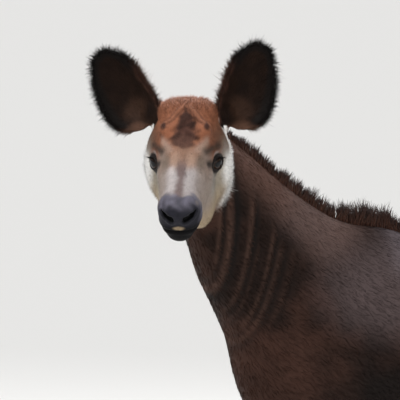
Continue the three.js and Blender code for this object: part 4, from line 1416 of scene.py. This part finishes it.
# The body's coat is made in lengths: where each starts and ends toward the tail and in height, how close
# its tufts stand, and how wide they are.
BODY_PIECES = {
    "coat_neck": ((-900, -150), (620, 1500), 1.35, 1.5),
    "coat_shoulders": ((-150, 60), (620, 1500), 1.35, 1.5),
    "coat_trunk": ((60, 900), (620, 1500), 1.0, 1.7),
    "coat_legs": ((-900, 900), (HOOF_TOP + 3, 620), 1.0, 1.7),
}


def body_density(along, height, closeness):
    def density(points):
        y, z = points[:, 1], points[:, 2]
        within = (y >= along[0]) & (y < along[1]) & (z >= height[0]) & (z < height[1])
        return BODY_TUFTS * closeness * within * (1 - head_share(points)) * (ear_masks(points)[0] < 0.5)

    return density


def face_density(points):
    q = mirrored(in_head(points))
    opening, front = eye_opening(q)
    near_eye = (opening < 5) & (front > -4)
    bare = ramp(q[:, 0] - np.interp(q[:, 2], MUZZLE_EDGE_UP, MUZZLE_EDGE_AT), -4, 8)
    return FACE_TUFTS * head_share(points) * (1 - bare) * ~near_eye * (ear_masks(points)[0] < 0.5)


def ear_density(points):
    return EAR_TUFTS * (ear_masks(points)[0] > 0.5)


def rim_density(points):
    return RIM_TUFTS * (ear_masks(points)[1] > 0.35)


def face_length(points):
    s, _, u = in_head(points).T
    crown = ramp(s, -15, -50) * ramp(u, 50, 80)
    cheek = ramp(s, -10, -55) * ramp(u, 30, -10)
    return 5.5 + 4.5 * crown + 6 * cheek + 3 * ramp(u, -70, -95)


def face_lift(points):
    s, _, u = in_head(points).T
    crown = ramp(s, -15, -50) * ramp(u, 50, 80)
    cheek = ramp(s, -40, -70) * ramp(u, 30, -10)
    return 0.25 + 0.25 * crown + 0.25 * cheek


def rim_direction(points):
    """Away from the middle of the ear, past its edge."""
    lie = np.zeros_like(points)
    for side in (1, -1):
        on_cup, along, t, _, _ = ear_facts(points, side)
        axes = ear_axes(side)
        over_tip = ramp(along, 110, 150)
        out = np.clip(1.6 * t, -1, 1)[:, None] * axes[1] * (1 - 0.4 * over_tip)[:, None]
        out = out + axes[0] * (0.25 + 1.1 * over_tip)[:, None] + axes[2] * 0.35
        lie[on_cup] = out[on_cup]
    return lie


for name, (along, height, closeness, width) in BODY_PIECES.items():
    coat_piece(name, body_density(along, height, closeness), body_length, width, 0.15, 2)
coat_piece("coat_face", face_density, face_length, 0.95, face_lift, 1)
coat_piece("coat_ears", ear_density, 8.5, 0.8, 0.22, 1)
coat_piece("ear_fringe", rim_density, 14.5, 0.95, 0.15, 2, long_coat, rim_direction, bend=0.0,
           uneven=0.28, stray=0.3)


# Long hair stands on its own roots: mane, tail tuft and lashes.
skin_tree = KDTree(len(triangle_middles))
for i, middle in enumerate(triangle_middles.tolist()):
    skin_tree.insert(middle, i)
skin_tree.balance()


def long_hair(name, nodes, roots, facing, lie, length, width, colour, tip, bend, sway):
    """Locks from the roots given, each at the nearest place of the skin's flat map."""
    count = len(roots)
    places = np.array([triangle_places[skin_tree.find(root)[1], 0] for root in roots.tolist()])
    colours, tips = (np.tile(each, (count, 1)) for each in (colour, tip))
    made = tufts(
        name, roots, facing, places, lie, length, np.full(count, width), np.zeros(count),
        bend, RANDOM.normal(0, sway, count), 3, varied(colours, 0.2), varied(tips, 0.2), sink=0)
    fit_out(made, long_coat, nodes)


MANE_FROM = -392
MANE_TO = 325
MANE_HEIGHT = curves([
    (-395, 12),
    (-347, 18),
    (-283, 20),
    (-208, 22),
    (-129, 31),
    (-40, 27),
    (60, 19),
    (200, 11),
    (330, 4),
])
MANE_LOCKS = 84
HAIRS_IN_LOCK = 56
MANE_HALF = 6.5
MANE_LENGTH = 1.36
LOCK_LEAN = 0.13
LOCK_VARIETY = 0.09

# The crest is looked for from this far below the line of the neck and back, over this much of height.
CREST_BELOW = 110
CREST_SPAN = 260.0
CREST_HALVINGS = 16


def crest(y):
    """Where the midline of the back lies at a distance toward the tail, and which way is up there."""
    upness = np.clip((y + 150) / 150, 0, 1)
    up = unit(np.outer(1 - upness, NECK_UP) + np.outer(upness, (0, 0, 1)))
    place, columns = NECK
    shift = np.interp(-y / np.cos(NECK_LEAN), place, columns[0])
    fall = np.where(y < 0, -y * np.tan(NECK_LEAN), 0) - CREST_BELOW
    start = np.stack([np.where(y < 0, shift, 0), y, WITHERS[2] + fall], 1)
    low = np.zeros(len(y))
    high = np.full(len(y), CREST_SPAN)
    for _ in range(CREST_HALVINGS):
        middle = (low + high) / 2
        within = skin(start + up * middle[:, None]) < 0
        low = np.where(within, middle, low)
        high = np.where(within, high, middle)
    return start + up * low[:, None], up


def mane():
    lock = np.repeat(np.arange(MANE_LOCKS), HAIRS_IN_LOCK)
    count = len(lock)
    t = np.clip((lock + RANDOM.normal(0, 0.26, count)) / (MANE_LOCKS - 1), 0, 1)
    lines = np.linspace(MANE_FROM, MANE_TO, 60)
    crest_points, crest_ups = crest(lines)
    y = MANE_FROM + (MANE_TO - MANE_FROM) * t
    roots = np.stack([np.interp(y, lines, crest_points[:, k]) for k in range(3)], 1)
    up = unit(np.stack([np.interp(y, lines, crest_ups[:, k]) for k in range(3)], 1))
    aside = np.clip(RANDOM.normal(0, 0.5, count), -1, 1)
    roots[:, 0] += aside * MANE_HALF
    roots -= up * (2.5 + 3 * aside[:, None] ** 2)
    back = np.cross(up, [-1.0, 0, 0])
    lock_lean = RANDOM.normal(0, LOCK_LEAN, (MANE_LOCKS, 3))[lock]
    lock_size = RANDOM.normal(0.98, LOCK_VARIETY, MANE_LOCKS)[lock]
    height = np.interp(y, MANE_HEIGHT[0], MANE_HEIGHT[1][0])
    length = MANE_LENGTH * height * lock_size * (1 + RANDOM.normal(0, LOCK_VARIETY, count))
    toward = up + back * (0.55 + 0.8 * ramp(t, 0.6, 1.0))[:, None] + np.outer(aside, (0.3, 0, 0)) + lock_lean
    toward = unit(toward + RANDOM.normal(0, 0.08, (count, 3)))
    facing = unit(np.cross(toward, back) + 0.3 * back)
    long_hair("mane_locks", ["mane"], roots, facing, toward, length, 2.3, MANE_BROWN, MANE_BLACK,
              bend=-0.08, sway=0.16)


TUFT_HAIRS = 900
TUFT_TOP = 708
TUFT_BOTTOM = 640
TUFT_LENGTH = 68


def tail_tuft():
    count = TUFT_HAIRS
    t = RANDOM.random(count) ** 0.8
    z = TUFT_TOP + (TUFT_BOTTOM - TUFT_TOP) * t
    turn = RANDOM.random(count) * 2 * np.pi
    line = np.array([point for point, _ in TAIL_LINE])[::-1]
    middle = np.stack([0 * z, np.interp(z, line[:, 2], line[:, 1]), z], 1)
    out = np.stack([np.cos(turn), np.sin(turn), 0 * z], 1)
    roots = middle + out * (1.5 + 4 * RANDOM.random(count) * (1 - t))[:, None]
    toward = unit(out * 0.05 + np.array([0, 0, -1.0]))
    length = TUFT_LENGTH * (1 - 0.25 * RANDOM.random(count)) * (0.75 + 0.25 * (1 - t))
    long_hair("tail_tuft_locks", ["tail_tuft"], roots, out, toward, length, 2.6, TUFT_DARK, TUFT_DARK * 0.7,
              bend=-0.02, sway=0.05)


LASHES = 46
LASH_LENGTH = 9.0
LASH_RISE = 2.0


def lashes():
    """Short dark lashes along each upper lid."""
    level, upward, look = eye_axes()
    rise, half = EYE_OPENING["rise"], EYE_OPENING["half_length"]
    radius = (half**2 + rise**2) / (2 * rise)
    u = np.linspace(-0.85, 0.9, LASHES) * half
    v = np.sqrt(radius**2 - u**2) - radius + rise
    depth = np.sqrt((EYE_RADIUS + LASH_RISE) ** 2 - u**2 - v**2)
    q = EYE_CENTRE + np.outer(u, level) + np.outer(v, upward) + np.outer(depth, look)
    toward = look + 0.12 * upward + np.outer(u / half, level) * 0.7
    facing = np.tile(upward, (LASHES, 1))
    flips = [np.array([1, side, 1]) for side in (1, -1)]
    roots = np.concatenate([from_head(q * flip) for flip in flips])
    toward, facing = (
        unit(np.concatenate([(each * flip) @ HEAD_AXES for flip in flips])) for each in (toward, facing))
    length = np.full(len(roots), LASH_LENGTH)
    long_hair("lashes", [], roots, facing, toward, length, 0.7, LASH_DARK, LASH_DARK, bend=0.25, sway=0.1)


mane()
tail_tuft()
lashes()


# Camera, at the distance and angle that the picture's shapes call for. Sizes in the picture are in pixels.
PICTURE = 400
PIXEL = 1.75
CAMERA_AWAY = 6000
EYES_IN_PICTURE = (186, 163)
ahead, right, upward = view_axes()
middle = EYE_LINE + right * (PICTURE / 2 - EYES_IN_PICTURE[0]) * PIXEL
middle = middle - upward * (PICTURE / 2 - EYES_IN_PICTURE[1]) * PIXEL
camera_data = bpy.data.cameras.new("camera")
camera_data.sensor_width = 36
camera_data.lens = CAMERA_AWAY / PIXEL / PICTURE * camera_data.sensor_width
camera_data.clip_end = 1000
camera = placed("camera", camera_data)
pose = Matrix([list(right), list(upward), list(ahead)]).transposed().to_4x4()
pose.translation = Vector(to_metres(middle + ahead * CAMERA_AWAY))
camera.matrix_world = pose
bpy.context.scene.camera = camera
bpy.context.scene.view_settings.view_transform = "Standard"

# A wide pale floor, its half width in metres, and soft studio light.
FLOOR_HALF = 400.0
floor_mesh = bpy.data.meshes.new("floor")
floor_corners = [(x * FLOOR_HALF, y * FLOOR_HALF, 0) for x, y in ((-1, -1), (1, -1), (1, 1), (-1, 1))]
floor_mesh.from_pydata(floor_corners, [], [(0, 1, 2, 3)])
floor = placed("floor", floor_mesh)
floor.data.materials.append(Nodes("pale_floor").finish(Base_Color=(0.80, 0.79, 0.77, 1), Roughness=0.8))


def light(kind, name, direction, power):
    data = bpy.data.lights.new(name, kind)
    data.energy = power
    made = placed(name, data)
    made.rotation_euler = Vector(direction).to_track_quat("Z", "Y").to_euler()
    return made


KEY = ahead * 0.35 - right * 0.55 + np.array([0, 0, 1.0])
FILL = ahead * 0.9 + right * 0.5 + np.array([0, 0, 0.35])
BACK = -ahead * 0.9 + right * 0.2 + np.array([0, 0, 0.9])
BACK_AWAY = 4.0
body_middle = to_metres([60, -200, 950])
light("SUN", "key", KEY, 2.4).data.angle = np.radians(45)
light("SUN", "fill", FILL, 1.0).data.angle = np.radians(60)
back = light("AREA", "back", BACK, 170)
back.data.size = 2.5
back.location = Vector(body_middle + unit(BACK) * BACK_AWAY)
world = bpy.data.worlds.new("studio")
world.use_nodes = True
background = world.node_tree.nodes["Background"]
background.inputs["Color"].default_value = (0.95, 0.97, 1.0, 1)
background.inputs["Strength"].default_value = 0.28
bpy.context.scene.world = world
